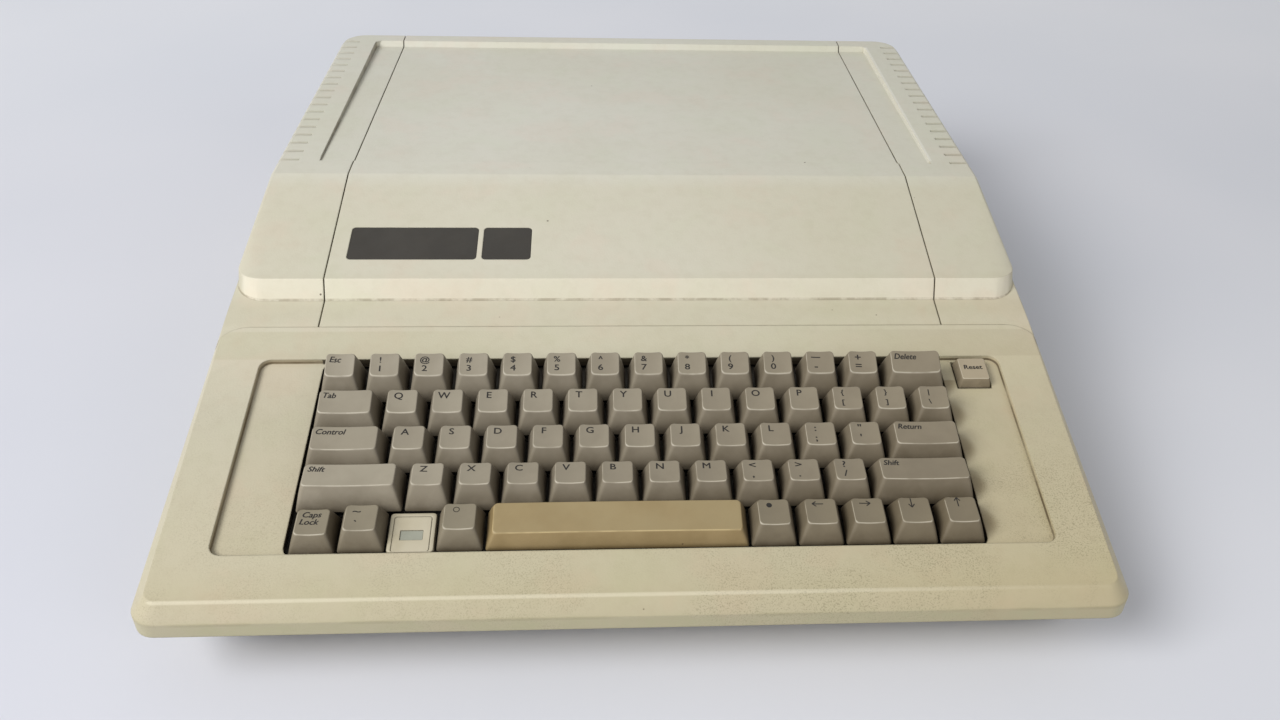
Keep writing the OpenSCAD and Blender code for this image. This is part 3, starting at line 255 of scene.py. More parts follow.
class CasePlastic(Mat):
    """The yellowed, fine-grained case: greyer on top, yellower and darker to the front (the
    darkening partly painted shade), specks, dirt, painted shade and painted highlights.
    """

    def __init__(self, name):
        super().__init__(name)
        self.x, self.y, self.z = self.axes()
        self.sx, self.v, self.w = self.slab_axes()
        self.nx, _, self.nz = self.axes(self.normal)
        self.back = self.math("ADD", self.y, CASE_D / 2 * MM)
        self.cloud = self.noise(9.0, 3.0, 0.55)
        self.uneven = self.patches(45.0, 0.30, 0.62, 0.35, 1.0)
        tone = self.ground()
        for layer in (self.tone_shifts_and_lit_bevel, self.blotched, self.dirt_and_shade, self.field_marks, self.body_marks,
                      self.well, self.row_shadows_and_marks, self.sunken_top, self.lit_lip):
            tone = layer(tone)
        self.done(tone, self.span(self.cloud, 0.3, 0.7, 0.44, 0.55), self.relief(), specular=0.42)

    def ground(self):
        half = CASE_D / 2 * MM
        along = self.span(self.y, -half, half, smooth=False)
        upright = self.span(self.math("ABSOLUTE", self.nx), 0.6, 0.9)
        return self.mix(upright, self.ramp(along, TOP_STOPS), self.ramp(along, SIDE_STOPS))

    def tone_shifts_and_lit_bevel(self, tone):
        """Browner and darker right of the keyboard, duller towards both sides of the body, and a
        painted highlight on the bevel.
        """
        slab = self.below(self.y, -0.11, -0.06)
        tone = self.tint(tone, self.product(slab, self.span(self.x, 0.02, 0.18)),
                         (0.97, 0.93, 0.86))
        tone = self.tint(tone, self.product(slab, self.below(self.x, -0.185, -0.02)),
                         (1.0, 1.0, 1.04))
        body_left = self.product(self.span(self.back, 0.143, 0.150),
                                 self.below(self.x, -0.17, -0.06))
        tone = self.tint(tone, body_left, (0.95, 0.95, 0.94))
        body_right = self.product(self.span(self.back, 0.145, 0.155),
                                  self.span(self.x, 0.0, 0.17))
        tone = self.tint(tone, body_right, (0.945, 0.94, 0.90))
        # a painted highlight on the bevel, which faces the light
        bevel = self.product(self.band(self.nz, 0.30, 0.62, 0.06),
                             self.band(self.back, 0.158, 0.176, 0.001))
        return self.coat(tone, bevel, (221, 215, 195))

    def blotched(self, tone):
        tone = self.coat(tone, self.span(self.cloud, 0.35, 0.7, 0.0, 0.13), (186, 176, 144))
        green = self.noise(31.0, 3.0, 0.6)
        tone = self.tint(tone, self.span(green, 0.50, 0.68, 0.0, 0.4), (0.965, 1.0, 0.955))
        tone = self.tint(tone, self.below(green, 0.34, 0.48), (1.015, 0.985, 0.985))
        mottle = self.patches(150.0, 0.40, 0.72, 0.0, 0.5, detail=4.0, rough=0.65)
        return self.tint(tone, mottle, (0.93, 0.92, 0.90))

    def dirt_and_shade(self, tone):
        """Grey dirt in the grain round the keyboard, darker and greener lower sides (partly painted
        shade), specks, and dirt with painted shade in corners and seams.
        """
        low = self.below(self.y, -0.205, -0.075)
        right = self.span(self.x, -0.17, 0.13, 0.45, 1.0)
        fine = self.product(self.patches(1700.0, 0.50, 0.66, detail=2.0),
                            self.patches(24.0, 0.36, 0.62), low, right)
        tone = self.coat(tone, fine, (120, 110, 84), 0.52)
        # the lower sides under the belt darker and greener: their own tone, partly painted shade
        flank = self.product(self.below(self.z, 0.036, 0.041),
                             self.patches(90.0, 0.35, 0.7, 0.35, 1.0))
        tone = self.coat(tone, flank, (176, 171, 136), 0.75)
        belt = self.product(self.band(self.z, 0.0376, 0.0386, 0.0006),
                            self.patches(38.0, 0.4, 0.65))
        tone = self.coat(tone, belt, (134, 124, 84), 0.2)
        tone = self.coat(tone, self.specks(95.0, (0.950, 0.960), (0.03, 0.06)), (74, 58, 36), 0.85)
        # dirt with painted shade in corners and seams
        corner = self.product(self.corner_dirt_and_shade(0.0026, 0.30, 0.85),
                              self.patches(70.0, 0.38, 0.72, 0.3, 1.0, rough=0.65))
        return self.coat(tone, corner, (96, 78, 48), 0.8)

    def field_marks(self, tone):
        """The sunken field round the keys, painted shade on its floor and left wall, the strip
        behind it and dirt with painted shade in the crease round its foot.
        """
        edge = self.edge_of(self.sx, self.v, FIELD_HALF, FIELD_V, FIELD_END, FIELD_R)
        deep = self.below(self.w, -0.0019, -0.0013)
        # the floor of the sunken field a little darker: painted shade in the recess
        tone = self.tint(tone, self.product(self.below(edge, -0.0008, 0.0), deep),
                         (0.965, 0.95, 0.93))
        strip = self.product(self.band(self.v, 0.1265, 0.1425, 0.001),
                             self.span(self.w, -0.001, -0.0004))
        tone = self.tint(tone, self.product(strip, self.below(self.sx, -0.13, -0.03)),
                         (0.93, 0.93, 0.89))
        tone = self.tint(tone, self.product(strip, self.span(self.sx, 0.05, 0.16)),
                         (0.92, 0.91, 0.90))
        # dirt with painted shade in the crease round the foot of the field
        crease = self.product(self.band(edge, -0.0003, 0.0003, 0.0003), deep, self.uneven)
        tone = self.coat(tone, crease, (84, 68, 42), 0.85)
        # painted shade on the field's left wall, which faces away from the light
        wall = self.product(self.band(edge, -0.0004, 0.0012, 0.0002),
                            self.band(self.w, -0.003, -0.0003, 0.0002),
                            self.below(self.sx, 0.0, 0.02))
        return self.coat(tone, wall, (140, 124, 92), 0.45)

    def body_marks(self, tone):
        """A painted shadow line round the back of the slab, and dirt with painted shade along the
        foot of the bevel.
        """
        slab = self.edge_of(self.sx, self.v, SLAB_HALF, SLAB_START_V, SLAB_END_V, SLAB_BACK_R)
        corner_v = SLAB_END_V - SLAB_BACK_R
        # a painted shadow line on the apron just behind the step at the back of the slab
        behind = self.product(self.band(slab, -0.0001, 0.0011, 0.0004),
                              self.band(self.w, -0.0060, -0.0007, 0.0003),
                              self.span(self.v, corner_v * MM, (corner_v + 2) * MM),
                              self.span(self.sx, -0.25, 0.16, 0.45, 0.8))
        tone = self.coat(tone, behind, (120, 106, 74))
        body = self.edge_of(self.x, self.back, BODY_HALF, BODY_FRONT_Y, BODY_END_Y, BODY_R)
        # dirt with painted shade in the crease along the foot of the bevel
        foot = self.product(self.band(body, -0.0003, 0.0002, 0.0002),
                            self.below(self.w, -0.0006, 0.0002),
                            self.patches(130.0, 0.38, 0.62, 0.25, 1.0, rough=0.7),
                            self.below(self.back, 0.168, 0.172))
        return self.coat(tone, foot, (122, 106, 76), 0.5)

    def well(self, tone):
        """Painted shade in the well under the keys and on its rear edge."""
        half = (WELL_HALF + 0.4) * MM
        across = self.band(self.sx, -half, half, 0.0004)
        # painted shade on the floor of the well and on its rear edge behind the keys
        floor = self.product(self.below(self.w, -0.0029, -0.0027),
                             self.band(self.v, (FIELD_V - 1) * MM, (FIELD_END + 1) * MM, 0.0003),
                             across)
        rear = self.product(self.span(self.v, (FIELD_END - 1) * MM, (FIELD_END - 0.6) * MM),
                            self.below(self.v, (FIELD_END + 1) * MM, (FIELD_END + 1.5) * MM),
                            self.below(self.w, -0.0008, -0.0001), across)
        return self.coat(tone, self.math("MAXIMUM", floor, self.product(rear, 0.9)), (58, 50, 37))

    def row_shadows_and_marks(self, tone):
        """Painted shadows, with brown marks, on the field right of each row of keys."""
        rows = self.math("DIVIDE", self.math("SUBTRACT", self.v, (ROWS_V + 1.5) * MM),
                         PITCH_MM * MM)
        swell = self.math("SINE", self.math("MULTIPLY", self.math("FRACT", rows), math.pi))
        past = self.math("SUBTRACT", self.sx, WELL_HALF * MM)
        beyond = self.math("SUBTRACT", past, self.math("MULTIPLY", swell, 0.0062))
        # a painted shadow cast to the right of each row, with brown marks
        mark = self.product(self.below(beyond, -0.0035, 0.0012), self.span(past, -0.002, 0.0),
                            self.band(self.w, -0.003, -0.0015, 0.0005),
                            self.band(self.v, ROWS_V * MM, (ROWS_V + 4.6 * PITCH_MM) * MM, 0.001),
                            swell)
        return self.coat(tone, mark, (128, 110, 76), 0.62)

    def sunken_top(self, tone):
        """The sides of the sunken top: a painted highlight on the right one, and painted shade with
        dirt along the left one.
        """
        y0, y1 = SUNK_Y
        along = self.product(self.band(self.back, y0 * MM, y1 * MM, 0.002),
                             self.span(self.z, 0.106, 0.108))
        # a painted highlight on the right side, which faces the light
        pale = self.product(along, self.band(self.x, (SUNK_HALF - 0.6) * MM,
                                             (SUNK_HALF + 1.0) * MM, 0.0007))
        tone = self.coat(tone, pale, (226, 223, 209), 0.7)
        # painted shade with dirt along the left side, which faces away from the light
        dirt = self.product(along, self.band(self.x, -(SUNK_HALF + 0.1) * MM,
                                             -(SUNK_HALF - 0.5) * MM, 0.0002), self.uneven)
        return self.coat(tone, dirt, (104, 90, 62), 0.6)

    def lit_lip(self, tone):
        """A painted highlight along the slab's front top edge, running out to the right."""
        # a painted highlight along the front top edge of the slab
        worn = self.product(self.band(self.v, 0.0041, 0.0049, 0.0005),
                            self.span(self.w, -0.0012, -0.0005),
                            self.below(self.x, 0.02, 0.2), self.band(self.x, -0.19, 0.19, 0.001))
        return self.coat(tone, worn, (232, 224, 198), 0.35)

    def relief(self):
        """Waves and grain; the shallow step into the sunken top is shaded as a smooth run."""
        normal = self.bump(self.noise(260.0, 2.0, 0.5), 0.12, 0.0006, self.soft_edges(0.0009))
        normal = self.bump(self.noise(1250.0, 2.0, 0.55), 0.26, 0.00022, normal)
        level = self.node("ShaderNodeVectorTransform", {"Vector": (0, 0, 1)}, vector_type="NORMAL",
                          convert_from="OBJECT", convert_to="WORLD").outputs[0]
        y0, y1 = STEP_Y
        step = self.product(self.band(self.back, y0 * MM, y1 * MM, 0.0008),
                            self.span(self.nz, 0.88, 0.92), 0.9)
        return self.node("ShaderNodeMix", {0: step, 4: normal, 5: level},
                         data_type="VECTOR").outputs[1]


def moulded(name, colour, dark, light, rough=0.5, edge=0.0005, grain=1400.0, corner_shade_and_dust=0.4):
    """Any smaller moulded or painted part: two-scale variation, grain, dirt with painted shade in
    its corners.
    """
    k = Mat(name)
    tone = k.mix(k.patches(45.0, 0.35, 0.7), lin(*dark), lin(*light))
    tone = k.mix(0.55, tone, lin(*colour))
    # dirt with painted shade in the corners
    tone = k.coat(tone, k.corner_dirt_and_shade(0.004, 0.25, 0.9), (70, 60, 48), corner_shade_and_dust)
    normal = k.bump(k.noise(grain, 2.0, 0.55), 0.2, 0.0002, k.soft_edges(edge))
    sheen = k.patches(120.0, 0.3, 0.7, rough - 0.06, rough + 0.08, detail=2.0, rough=0.5)
    return k.done(tone, sheen, normal, specular=0.45)


def key_plastic(name, colour, worn, shade, edge, browned_and_shaded, soil_and_shade):
    """Taupe keycap plastic: polished by fingers on top, darker down its flanks with dirt and
    painted shade.
    """
    k = Mat(name)
    x, v, w = k.slab_axes()
    nx, nv, nw = k.turned(k.normal)
    cloud = k.noise(70.0, 3.0, 0.6)
    tone = k.mix(k.span(cloud, 0.35, 0.68), lin(*shade), lin(*colour))
    polish = k.span(nw, 0.80, 0.97)
    tone = k.coat(tone, k.product(polish, k.patches(38.0, 0.3, 0.7, 0.35, 0.8)), worn)
    # browner and darker to the right and to the front, and a paler left shift key: partly
    # yellowing, partly painted light and shade
    tone = k.tint(tone, k.span(x, -0.11, 0.15), browned_and_shaded)
    tone = k.tint(tone, k.below(v, 0.040, 0.100), (0.93, 0.92, 0.90))
    tone = k.tint(tone, k.below(v, 0.043, 0.046), (0.86, 0.85, 0.80))
    left_shift = k.product(k.band(v, 0.046, 0.062, 0.002), k.below(x, -0.095, -0.05))
    tone = k.tint(tone, left_shift, (1.22, 1.24, 1.27))
    # flanks: darker downwards, dirt with painted shade; painted shade on the right and back flanks,
    # which face away from the light
    down = k.product(k.below(w, -0.001, 0.0075), k.below(nw, 0.45, 0.8), soil_and_shade,
                     k.patches(160.0, 0.3, 0.7, 0.55, 1.0))
    tone = k.coat(tone, down, (74, 62, 45))
    shaded_right_side = k.product(k.span(nx, 0.35, 0.85), k.below(nw, 0.45, 0.75))
    tone = k.coat(tone, shaded_right_side, (66, 57, 43), 0.5)
    tone = k.coat(tone, k.span(nv, 0.4, 0.8), (62, 54, 42), 0.3)
    # a painted highlight along the front and left edges of the tops, which face the light, patchy
    # like wear
    lip = k.product(k.span(nw, 0.60, 0.72), k.below(nw, 0.88, 0.955), k.below(nx, 0.25, 0.50),
                    k.below(nv, 0.0, 0.25))
    tone = k.coat(tone, k.product(lip, k.patches(120.0, 0.3, 0.6, 0.25, 0.75, 2.0, 0.5)), edge)
    tone = k.coat(tone, k.specks(190.0, (0.972, 0.977), (0.05, 0.10)), (84, 66, 44), 0.7)
    # painted shade with dirt in the gaps and corners round each cap
    tone = k.coat(tone, k.corner_dirt_and_shade(0.003, 0.35, 0.95), (54, 45, 33), 0.6)
    rough = k.math("SUBTRACT", k.span(cloud, 0.3, 0.7, 0.50, 0.58), k.product(polish, 0.16))
    return k.done(tone, rough, k.bump(k.noise(1700.0, 2.0, 0.5), 0.16, 0.00016))


def steel(name, colour, rough=0.38):
    """Plated sheet steel with a brushed grain, dull patches, and dirt with painted shade in its
    corners.
    """
    k = Mat(name)
    stretched = k.node("ShaderNodeMapping", {"Vector": k.coord, "Scale": (1.0, 6.0, 14.0)})
    fine = k.noise(500.0, 3.0, 0.6, stretched.outputs[0])
    tone = k.mix(k.patches(30.0, 0.35, 0.7), lin(*colour), lin(*[c * 0.88 for c in colour]))
    # dirt with painted shade in the corners
    tone = k.coat(tone, k.corner_dirt_and_shade(0.004, 0.3, 0.9), (84, 78, 68), 0.5)
    normal = k.bump(fine, 0.12, 0.0001, k.soft_edges(0.0003))
    return k.done(tone, k.span(fine, 0.3, 0.7, rough - 0.08, rough + 0.12), normal, metallic=0.85)


def board_green(name):
    """Solder-masked circuit board: traces show as a faint relief and a lighter green."""
    k = Mat(name)
    lines = k.node("ShaderNodeTexBrick", {"Vector": k.coord, "Scale": 60.0, "Mortar Size": 0.02,
                   "Color1": lin(34, 84, 52), "Color2": lin(30, 76, 48),
                   "Mortar": lin(60, 120, 74)})
    cloud = k.noise(50.0, 2.0, 0.5)
    tone = k.coat(lines.outputs["Color"], k.span(cloud, 0.4, 0.7, 0.0, 0.5), (24, 62, 40))
    normal = k.bump(lines.outputs["Fac"], 0.3, 0.0002)
    return k.done(tone, k.span(cloud, 0.3, 0.7, 0.35, 0.5), normal)


# keys: colour, worn top, shade (a darker tone), lit edge (a painted highlight), the brown and
# painted shade to the right, dirt and painted shade down the flanks
# moulded parts: colour, dark and light patches
M = {
    "case": CasePlastic("case_plastic").m,
    "key": key_plastic("key_plastic", (144, 135, 118), (151, 143, 125), (133, 124, 107),
                       (188, 180, 161), (0.81, 0.77, 0.70), 0.5),
    # the reset key's plastic is a lighter copy of the keys' plastic: painted light against the
    # shadow the delete key casts on it
    "reset": key_plastic("reset_plastic", (176, 165, 143), (180, 169, 147), (166, 155, 133),
                         (204, 196, 174), (0.88, 0.84, 0.77), 0.5),
    "space": key_plastic("space_bar_plastic", (166, 145, 105), (171, 155, 119), (155, 134, 94),
                         (190, 170, 124), (0.98, 0.97, 0.95), 0.15),
    "badge": moulded("badge_plastic", (52, 48, 40), (45, 41, 33), (59, 55, 47), rough=0.46),
    "lamp_plate": moulded("lamp_plate_plastic", (186, 177, 153), (166, 155, 127), (200, 192, 170),
                          rough=0.45, corner_shade_and_dust=0.7),
    "lens": moulded("lamp_lens", (150, 151, 136), (138, 139, 124), (166, 167, 152), rough=0.22,
                    edge=0.0003),
    "base": moulded("base_plastic", (197, 189, 165), (187, 178, 152), (203, 196, 174), rough=0.55),
    "dark": moulded("dark_plastic", (58, 56, 53), (48, 46, 43), (68, 66, 62)),
    "rubber": moulded("foot_rubber", (52, 51, 50), (42, 41, 40), (66, 65, 63), rough=0.85,
                      grain=800.0),
    "slot": moulded("slot_plastic", (28, 60, 50), (22, 50, 42), (36, 72, 60), rough=0.45),
    "chip": moulded("chip_plastic", (34, 34, 35), (28, 28, 29), (42, 42, 43), rough=0.6),
    # the switches and the keyboard frame are dark, partly as painted shade in the gaps between the
    # keys
    "switch": moulded("switch_plastic", (38, 35, 31), (28, 26, 23), (48, 45, 40), rough=0.6),
    "frame": steel("frame_metal", (72, 68, 60), rough=0.5),
    "lead": moulded("lead_plastic", (140, 138, 134), (124, 122, 118), (154, 152, 148)),
    "panel": steel("panel_metal", (176, 174, 168)),
    "screw": steel("screw_steel", (150, 146, 138), rough=0.3),
    "board": board_green("circuit_board"),
    "ink": moulded("legend_ink", (30, 26, 20), (23, 20, 15), (38, 33, 27), rough=0.6, edge=0.0001),
}

FINISH = {
    "case": ["top_case", "lid"], "badge": ["badge_plates"], "lens": ["power_lamp"],
    "base": ["base_pan"], "panel": ["rear_panel", "power_supply"], "frame": ["keyboard_frame"],
    "dark": ["port_covers", "power_inlet", "power_switch", "rear_sockets", "speaker",
             "lid_catches"],
    "rubber": ["feet"], "screw": ["case_screws"], "board": ["logic_board", "keyboard_board"],
    "slot": ["expansion_slots"], "chip": ["logic_chips"], "switch": ["key_switches"],
    "lead": ["keyboard_lead"],
}
# angles in degrees from which an edge of a CAD node stays sharp
SHARP, SHARP_CASE = 28.0, 12.4


def dress(node, material):
    """Gives a CAD node its finish, welds its facets and smooths what is round."""
    o = NODES[node]
    o.data.materials.clear()
    o.data.materials.append(material)
    for p in o.data.polygons:
        p.use_smooth = True
        p.material_index = 0
    if "custom_normal" in o.data.attributes:
        o.data.attributes.remove(o.data.attributes["custom_normal"])
    weld = o.modifiers.new("weld", "WELD")
    weld.merge_threshold = 0.00001
    split = o.modifiers.new("split", "EDGE_SPLIT")
    split.use_edge_angle = True
    split.use_edge_sharp = False
    split.split_angle = math.radians(SHARP_CASE if node in FINISH["case"] else SHARP)


for finish, names in FINISH.items():
    for n in names:
        dress(n, M[finish])


# --- helpers for pieces ---------------------------------------------------------------------------
def make_piece(name, bm, material, body, replaces=()):
    bmesh.ops.recalc_face_normals(bm, faces=bm.faces)
    mesh = bpy.data.meshes.new(name)
    bm.to_mesh(mesh)
    bm.free()
    for p in mesh.polygons:
        p.use_smooth = True
    mesh.set_sharp_from_angle(angle=math.radians(35))
    mesh.materials.append(material)
    o = bpy.data.objects.new(name, mesh)
    scene.collection.objects.link(o)
    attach(o, body)
    if replaces:
        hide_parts(*replaces)


def round_rect(x0, x1, y0, y1, r, corner=5, side=(8, 6)):
    """Points round a rectangle with rounded corners, counterclockwise from the front edge's left
    end, the same number whatever its size. corner gives the steps round each corner, and side
    those along the front and back, and along the sides."""
    def on_arc(cx, cy, degrees):
        a = math.radians(degrees)
        return cx + r * math.cos(a), cy + r * math.sin(a)
    pts, start = [], (x0 + r, y0)
    arcs = ((x1 - r, y0 + r, -90), (x1 - r, y1 - r, 0), (x0 + r, y1 - r, 90), (x0 + r, y0 + r, 180))
    for (cx, cy, a0), steps in zip(arcs, side * 2):
        end = on_arc(cx, cy, a0)
        for s in range(steps):
            f = s / steps
            pts.append((start[0] + (end[0] - start[0]) * f, start[1] + (end[1] - start[1]) * f))
        pts += [on_arc(cx, cy, a0 + 90 * c / corner) for c in range(corner)]
        start = on_arc(cx, cy, a0 + 90)
    return pts


def join_rings(bm, a, b):
    """Joins two closed rings of vertices with faces."""
    n = len(a)
    for i in range(n):
        bm.faces.new((a[i], a[(i + 1) % n], b[(i + 1) % n], b[i]))


def loft(bm, rings):
    """Skins rings of points of one length each, and returns the rings of vertices."""
    made = [[bm.verts.new(p) for p in ring] for ring in rings]
    for a, b in zip(made, made[1:]):
        join_rings(bm, a, b)
    return made


def post(bm, half, z0, z1):
    """A square post with rounded upright edges and a small chamfer at its top."""
    r, c = 0.3, min(0.25, (z1 - z0) / 4)

    def ring(h, z, r):
        return [(x, y, z) for x, y in round_rect(-h, h, -h, h, r, 3, (1, 1))]
    made = loft(bm, [ring(half, z0, r), ring(half, z1 - c, r), ring(half - c, z1, r * 0.7)])
    bm.faces.new(list(reversed(made[0])))
    bm.faces.new(made[-1])


# --- keys -----------------------------------------------------------------------------------------
# all in millimetres: a cap's skirt below the slab, how far its flanks draw in (at the sides in all,
# in front and behind for each millimetre of height), its wall, and the room over its hollow
SKIRT, SIDE_IN, FRONT_LEAN, BACK_LEAN, CAP_WALL, ROOF = 1.5, 2.9, 0.456, 0.168, 1.2, 2.0
# how far the rounded lip round a top draws in, as a share of its height
LIP_IN = 0.8
# heights of the tops' front and back edges above the slab, from the number row to the front row
ROW_TOPS = [(10.2, 13.3), (9.1, 10.7), (9.0, 9.5), (9.8, 8.9), (8.0, 7.2)]
SPACE_FRONT, SPACE_CROWN, DISH = 5.8, -0.25, 0.6
# the frame plate's and the switches' depths, and the room under a stem
PLATE_DROP, SWITCH_DOWN, SWITCH_FLOOR, STEM_REST, STEM_HALF = 7.5, 4.9, 1.0, 0.3, 1.8
TRAVEL, RESET_TRAVEL, CAPS_LOCK_DOWN = 3.8, 1.6, 2.5
# how high drawn marks and the layers of text stand over a cap, and the widths of drawn lines
INK_UP, TEXT_UP, TEXT_LAYER, LINE_W, FINE_LINE_W = 0.05, 0.04, 0.01, 0.45, 0.3


class Cap:
    """One keycap, in millimetres, with its middle at (0, 0) and the slab at z = 0."""

    def __init__(self, w, d, front, back, skirt, side_in, front_in, back_in, dish, travel,
                 r_low=1.0, r_top=1.9, lip=0.5):
        self.w, self.d, self.front, self.back, self.skirt = w, d, front, back, skirt
        self.side_in, self.front_in, self.back_in, self.dish = side_in, front_in, back_in, dish
        self.travel, self.r_low, self.r_top, self.lip = travel, r_low, r_top, lip
        self.y0, self.y1 = -d / 2 + front_in, d / 2 - back_in
        self.xh = w / 2 - side_in

    def top(self, x, y):
        """The height of the dished top."""
        f = (y - self.y0) / (self.y1 - self.y0)
        g = min(1.0, abs(x) / self.xh)
        return self.front + (self.back - self.front) * f - self.dish * (1 - g * g)

    def ring(self, s, inset=0.0, bow=0.0):
        """The outline at a share s of the height, from the skirt to the top."""
        hw = self.w / 2 - self.side_in * s - inset + bow
        y0 = -self.d / 2 + self.front_in * s + inset - bow
        y1 = self.d / 2 - self.back_in * s - inset + bow
        r = self.r_low + (self.r_top - self.r_low) * s
        side = (max(6, int(self.w / 2.2)), 7)
        out = []
        for x, y in round_rect(-hw, hw, y0, y1, max(r - inset, 0.4), side=side):
            full = self.top(x, min(max(y, self.y0), self.y1))
            out.append((x, y, -self.skirt + (full + self.skirt) * s if s < 1 else full))
        return out

    def build(self, bm):
        low = min(self.front, self.back)
        near = 1 - self.lip / (low + self.skirt)
        # the flanks, bowed out a little, from the inner edge of the skirt to the lip
        rings = [self.ring(0.0, CAP_WALL), self.ring(0.0, 0.1), self.ring(0.025),
                 self.ring(0.3, bow=0.10), self.ring(0.6, bow=0.14),
                 self.ring(near - 0.02, bow=0.04), self.ring(near, bow=0.03)]
        # the rounded lip
        for a in (22, 45, 68):
            t = math.radians(a)
            rings.append(self.ring(1 - (1 - near) * (1 - math.sin(t)),
                                   self.lip * (1 - math.cos(t)) * LIP_IN))
        edge = self.ring(1.0, self.lip * LIP_IN)
        rings.append(edge)
        # the top, in rings that close in on its middle
        cy = (self.y0 + self.y1) / 2
        for f in (0.985, 0.93, 0.84, 0.72, 0.58, 0.42, 0.24, 0.1):
            rings.append([(x * f, cy + (y - cy) * f, self.top(x * f, cy + (y - cy) * f))
                          for x, y, _ in edge])
        made = loft(bm, rings)
        middle = bm.verts.new((0, cy, self.top(0, cy)))
        for a, b in zip(made[-1], made[-1][1:] + made[-1][:1]):
            bm.faces.new((a, b, middle))
        # the hollow under the top, and the stem
        roof = low - ROOF
        share = (roof + self.skirt) / (low + self.skirt)
        last = [bm.verts.new((x, y, roof)) for x, y, _ in self.ring(share, CAP_WALL)]
        n = len(last)
        for i in range(n):
            bm.faces.new((made[0][(i + 1) % n], made[0][i], last[i], last[(i + 1) % n]))
        bm.faces.new(last)
        stem = SWITCH_FLOOR + STEM_REST + self.travel - PLATE_DROP - SWITCH_DOWN
        post(bm, STEM_HALF, stem, roof + 0.1)


def glyphs(text, size, wide, lean):
    """The letters of one line as a mesh, in millimetres, starting at the origin."""
    curve = bpy.data.curves.new("legend", "FONT")
    curve.body = text
    curve.size = size
    curve.shear = lean
    curve.resolution_u = 3
    o = bpy.data.objects.new("legend", curve)
    scene.collection.objects.link(o)
    bpy.context.view_layer.update()
    mesh = bpy.data.meshes.new_from_object(o)
    bpy.data.objects.remove(o)
    bpy.data.curves.remove(curve)
    mesh.transform(Matrix.Diagonal((wide, 1, 1, 1)))
    return mesh


def write_on(bm, cap, text, x, y, place, size, wide=1.12, lean=0.0, bold=0.085, align="middle"):
    """Lays a line of text on the dished top of a cap: its left end or middle at x, its mid height
    at y. It is laid down three times, a little apart, for the thickness of its strokes."""
    mesh = glyphs(text, size, wide, lean)
    xs = [v.co.x for v in mesh.vertices]
    shift = {"left": -min(xs), "middle": -(min(xs) + max(xs)) / 2}[align]
    half = size * 0.36
    temp = bmesh.new()
    temp.from_mesh(mesh)
    long = [e for e in temp.edges if e.calc_length() > 0.9]
    if long:
        bmesh.ops.subdivide_edges(temp, edges=long, cuts=1)
    bmesh.ops.triangulate(temp, faces=temp.faces)
    flat = [v.co.copy() for v in temp.verts]
    for i, (dx, dy) in enumerate(((-bold, 0), (bold, 0), (0, bold))):
        for v, at in zip(temp.verts, flat):
            px, py = at.x + shift + x + dx, at.y - half + y + dy
            v.co = place @ Vector((px, py, cap.top(px, py) + TEXT_UP + TEXT_LAYER * i))
        temp.to_mesh(mesh)
        bm.from_mesh(mesh)
    temp.free()
    bpy.data.meshes.remove(mesh)


def on_top(cap, p, place):
    """A point of a drawn mark, laid on a cap's top."""
    return place @ Vector((p.x, p.y, cap.top(p.x, p.y) + INK_UP))


def stroke(bm, cap, start, end, place, width=LINE_W, steps=4):
    """A drawn line on a cap's top, such as an arrow's shaft."""
    start, end = Vector(start), Vector(end)
    d = (end - start).normalized()
    n = Vector((-d.y, d.x)) * width / 2
    rows = []
    for i in range(steps + 1):
        p = start.lerp(end, i / steps)
        rows.append([bm.verts.new(on_top(cap, q, place)) for q in (p + n, p - n)])
    for u, v in zip(rows, rows[1:]):
        bm.faces.new((u[0], u[1], v[1], v[0]))


def arrow(bm, cap, cx, cy, angle, place, reach=2.2):
    a = math.radians(angle)
    d, n = Vector((math.cos(a), math.sin(a))), Vector((-math.sin(a), math.cos(a)))
    c = Vector((cx, cy))
    tip = c + d * reach
    stroke(bm, cap, c - d * reach, tip, place)
    for hand in (n, -n):
        stroke(bm, cap, tip + d * 0.1, tip - d * 1.5 + hand * 1.2, place)


def round_mark(bm, cap, cx, cy, place, filled, r=1.15, n=20):
    pts = [Vector((cx, cy)) + Vector((math.cos(2 * math.pi * i / n),
                                      math.sin(2 * math.pi * i / n))) * r for i in range(n + 1)]
    if filled:
        bm.faces.new([bm.verts.new(on_top(cap, q, place)) for q in pts[:-1]])
    else:
        for a, b in zip(pts, pts[1:]):
            stroke(bm, cap, a, b, place, FINE_LINE_W)


